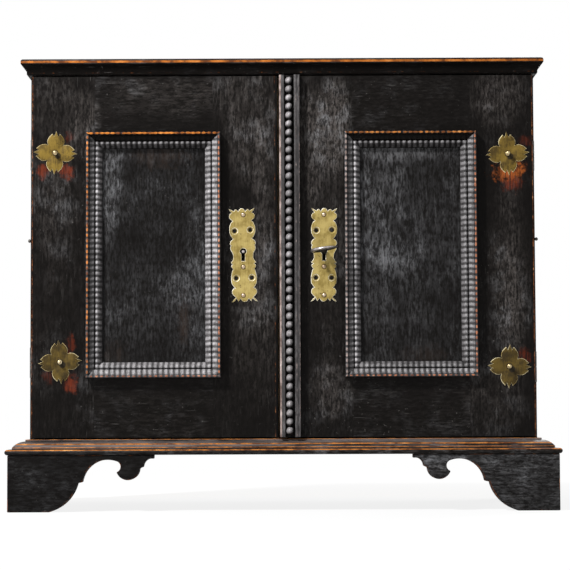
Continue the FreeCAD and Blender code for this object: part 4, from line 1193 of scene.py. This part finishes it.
def makeEscutcheons():
    for seed, side in enumerate(sides):
        low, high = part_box("escutcheon_" + side)
        middle = middleOf((low, high), faceY - escutcheon["thickness"] * mm)
        width, height = high.x - low.x, high.z - low.z

        def spot(u, v):
            return Vector((middle.x + u * width / 2, middle.y, high.z - v * height))

        half = outlinePoints(escutcheon["start"], escutcheon["half"], escutcheon["arcSteps"])
        outline = [spot(u, v) for u, v in half] + [spot(-u, v) for u, v in reversed(half[1:-1])]
        turn = Matrix.Rotation(math.radians(escutcheon["tilts"][side]), 4, "Y")
        shareX, shareZ = escutcheon["outlineShare"]
        turn = turn @ Matrix.Diagonal((shareX, 1, shareZ, 1))
        turn = Matrix.Translation(middle) @ turn @ Matrix.Translation(-middle)
        outline = [turn @ place for place in outline]
        loops = [outline, keyholeLoop(middle.x, keyholeHeight(), middle.y)]
        for u, v in escutcheon["eyes"]:
            loops.append(circlePlaces(turn @ spot(u, v), escutcheon["eyeRadius"] * mm,
                                      escutcheon["holeSteps"]))
        bm = bmesh.new()
        plate(bm, loops, escutcheon["thickness"] * mm, escutcheon["rim"] * mm, escutcheon["rimDrop"] * mm)
        for u, v in escutcheon["eyes"]:
            funnel(bm, turn @ spot(u, v))
        dirtAndShade = []
        reach, strength = escutcheon["nailDirtAndShade"]
        for box in solidsAlong("escutcheon_nails_" + side, "Z"):
            nail = middleOf(box, faceY)
            dirtAndShade.append((nail.x, nail.z, reach * mm, strength))
        face = brass("escutcheon_brass_" + side, "plate", 8.0 + seed, "face", dirtAndShade)
        edge = brass("escutcheon_rim_brass_" + side, "plate", 8.0 + seed, "rim")
        newPiece("escutcheon_cut_" + side, bm, [face, edge], "escutcheon_" + side)


def keyholeHeight():
    return middleOf(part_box("key"), faceY).z


makeRosettes()
makeStuds()
makeEscutcheons()
print("brass mounts made")

# Tip of the pin that shows in the left keyhole: reach out from the door, and radius
pinTip = ((-9.5, 0.0), (-9.5, 1.0), (-0.6, 1.05), (0.0, 1.45), (0.5, 1.5), (0.9, 1.1), (1.05, 0.0))

# Key in the right lock, in millimetres from the keyhole. Reach is measured out from the door.
keyShape = {
    "bowReach": 20.0,
    "bowRadius": 13.3,
    "bowRise": 0.7,
    "wire": 1.75,
    "thinShare": 0.45,
    "tilt": 9.0,
    "lean": -1.5,
    "shank": ((-12.2, 0.0), (-12.2, 2.4), (-0.2, 2.4), (3.0, 2.1), (3.6, 2.4), (4.4, 2.5), (5.4, 2.3), (6.4, 2.4),
              (8.0, 3.7), (10.8, 3.9), (13.2, 2.8), (15.0, 0.0)),
    "neckFrom": 6.0,
    "neckFlat": 0.36,
    "shadeFrom": 2.0,
    "shankSteps": 24,
    "wireSteps": 12,
    "bowSteps": 40,
}


# The bow: a ring of wire, thinner at the right
def addBow(bm, centre):
    shank = set(bm.verts)
    ring = keyShape["bowRadius"] - keyShape["wire"]
    wire = circlePlaces(centre + Vector((ring * mm, 0, 0)), keyShape["wire"] * mm, keyShape["wireSteps"])
    edges = addLoop(bm, wire)
    rim = [edge.verts[0] for edge in edges]
    bmesh.ops.spin(
        bm, geom=rim + edges, cent=centre, axis=Vector((0, 0, 1)), angle=fullTurn, steps=keyShape["bowSteps"],
        use_merge=True, use_duplicate=False,
    )
    bow = [vertex for vertex in bm.verts if vertex not in shank]
    for vertex in bow:
        side = (vertex.co.x - centre.x) / (keyShape["bowRadius"] * mm)
        thin = 1.0 - (1.0 - keyShape["thinShare"]) * (side + 1) / 2
        vertex.co.z = centre.z + (vertex.co.z - centre.z) * thin
    lean = Matrix.Translation(centre) @ Matrix.Rotation(math.radians(keyShape["lean"]), 4, "X")
    bmesh.ops.transform(bm, matrix=lean @ Matrix.Translation(-centre), verts=bow)


def makeKey():
    hole = middleOf(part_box("key"), faceY)
    bm = bmesh.new()
    addSpun(bm, keyShape["shank"], hole, outward, keyShape["shankSteps"])
    for vertex in bm.verts:
        if vertex.co.y < faceY - keyShape["neckFrom"] * mm:
            vertex.co.z = hole.z + (vertex.co.z - hole.z) * keyShape["neckFlat"]
    centre = hole + Vector((0, -keyShape["bowReach"], keyShape["bowRise"])) * mm
    addBow(bm, centre)
    turn = Matrix.Rotation(math.radians(-keyShape["tilt"]), 4, "Y")
    bmesh.ops.transform(bm, matrix=Matrix.Translation(hole) @ turn @ Matrix.Translation(-hole), verts=bm.verts)
    # Faces nearer the door than the bow take near-black iron: painted shade on the shank under the bow
    for face in bm.faces:
        if face.calc_center_median().y > centre.y + keyShape["shadeFrom"] * mm:
            face.material_index = 1
    newPiece("key_forged", bm, [made["keySteel"], made["blackIron"]], "key")


def makeKeyholePin():
    bm = bmesh.new()
    spot = middleOf(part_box("escutcheon_left"), faceY)
    spot.z = keyholeHeight()
    addSpun(bm, pinTip, spot, outward, 20)
    newPiece("keyhole_pin_left", bm, [made["keySteel"]], None, bodyOf["lock_case_left"])


# Carrying handles: turned posts and a drop bail
postProfile = (
    (0.0, 0.0), (0.0, 7.9), (0.5, 7.9), (0.9, 7.2), (1.2, 5.0), (1.6, 2.8), (2.6, 2.2), (3.6, 2.6), (4.6, 3.5),
    (6.0, 4.05), (7.2, 4.15), (8.4, 4.05), (9.8, 3.4), (10.6, 2.2), (11.0, 1.25), (11.4, 1.35), (12.0, 1.7),
    (12.6, 1.85), (13.4, 1.7), (14.0, 1.1), (14.4, 0.0),
)


def makeHandles():
    for side, sign in sides.items():
        bm = bmesh.new()
        for low, high in solidsAlong("handle_posts_" + side, "Y"):
            seat = Vector((sign * halfWidth, (low.y + high.y) / 2, (low.z + high.z) / 2))
            addSpun(bm, postProfile, seat, Vector((sign, 0, 0)), 28)
        newPiece("handle_posts_turned_" + side, bm, [made["iron"]], "handle_posts_" + side)
        dress("handle_bail_" + side, made["iron"])


makeKey()
makeKeyholePin()
makeHandles()
print("key and handles made")

# Camera, from the photograph's own perspective
view = {
    "place": (0.0053, -2.122, 0.0944),
    "pitch": 0.0629,
    "yaw": 0.0016,
    "roll": -0.0040,
    "focalPixels": 2041.7,
    "framePixels": 570,
    "sensor": 36.0,
}


def makeCamera():
    data = bpy.data.cameras.new("photo_camera")
    camera = placeInScene("photo_camera", data)
    data.sensor_width = view["sensor"]
    data.lens = view["focalPixels"] * view["sensor"] / view["framePixels"]
    turn = Matrix.Rotation(view["yaw"], 4, "Z") @ Matrix.Rotation(quarterTurn + view["pitch"], 4, "X")
    camera.matrix_world = Matrix.Translation(view["place"]) @ turn @ Matrix.Rotation(view["roll"], 4, "Z")
    bpy.context.scene.camera = camera


# Light: a soft key from the upper left, a broad fill behind and a dim even room
light = {
    "target": (0.0, -0.1, 0.25),
    "room": 0.13,
}
# The floor goes from its near white to full white between two distances
floorLook = {
    "reach": 8.0,
    "paint": (0.86, 0.86, 0.86),
    "nearWhite": 0.85,
    "fade": (0.25, 1.4),
}
lamps = {
    "key_lamp": {"towards": (-0.95, -1.0, 1.2), "distance": 2.4, "size": 0.28, "power": 90.0},
    "back_fill": {"towards": (0.8, 1.5, 0.7), "distance": 3.0, "size": 2.2, "power": 80.0},
}


def makeLight():
    for name, setting in lamps.items():
        data = bpy.data.lights.new(name, "AREA")
        data.shape = "DISK"
        data.size = setting["size"]
        data.energy = setting["power"]
        lamp = placeInScene(name, data)
        direction = Vector(setting["towards"]).normalized()
        place = Vector(light["target"]) + direction * setting["distance"]
        lamp.matrix_world = Matrix.Translation(place) @ direction.to_track_quat("Z", "Y").to_matrix().to_4x4()
    world = bpy.data.worlds.new("pale_room")
    world.use_nodes = True
    world.node_tree.nodes.clear()
    bpy.context.scene.world = world
    tap = Tap(world.node_tree)
    seen = tap.node("LightPath", {}, {}, "Is Camera Ray")
    seen = seen.most(tap.node("LightPath", {}, {}, "Is Glossy Ray"))
    seen = seen.most(tap.node("LightPath", {}, {}, "Is Transmission Ray"))
    strength = seen * (1.0 - light["room"]) + light["room"]
    background = tap.node("Background", {}, {"Color": (1, 1, 1), "Strength": strength})
    tap.node("OutputWorld", {}, {"Surface": background})


def makeFloor():
    bm = bmesh.new()
    bmesh.ops.create_grid(bm, x_segments=1, y_segments=1, size=floorLook["reach"])
    mesh = bpy.data.meshes.new("studio_floor")
    bm.to_mesh(mesh)
    bm.free()
    floor = placeInScene("studio_floor", mesh)
    material, tap = startMaterial("pale_floor")
    place = tap.node("TexCoord", {}, {}, "Object")
    away = tap.node("VectorMath", {"operation": "LENGTH"}, {0: place}, "Value")
    seen = tap.node("LightPath", {}, {}, "Is Camera Ray")
    white = seen * (away.rise(*floorLook["fade"]) * (1 - floorLook["nearWhite"]) + floorLook["nearWhite"])
    matt = tap.node("BsdfDiffuse", {}, {"Color": floorLook["paint"]})
    glow = tap.node("Emission", {}, {"Color": (1, 1, 1), "Strength": 1.0})
    surface = tap.node("MixShader", {}, {0: white, 1: matt, 2: glow})
    tap.node("OutputMaterial", {}, {"Surface": surface})
    mesh.materials.append(material)


makeCamera()
makeLight()
makeFloor()
bpy.context.scene.view_settings.view_transform = "Standard"
print("camera, light and floor made")
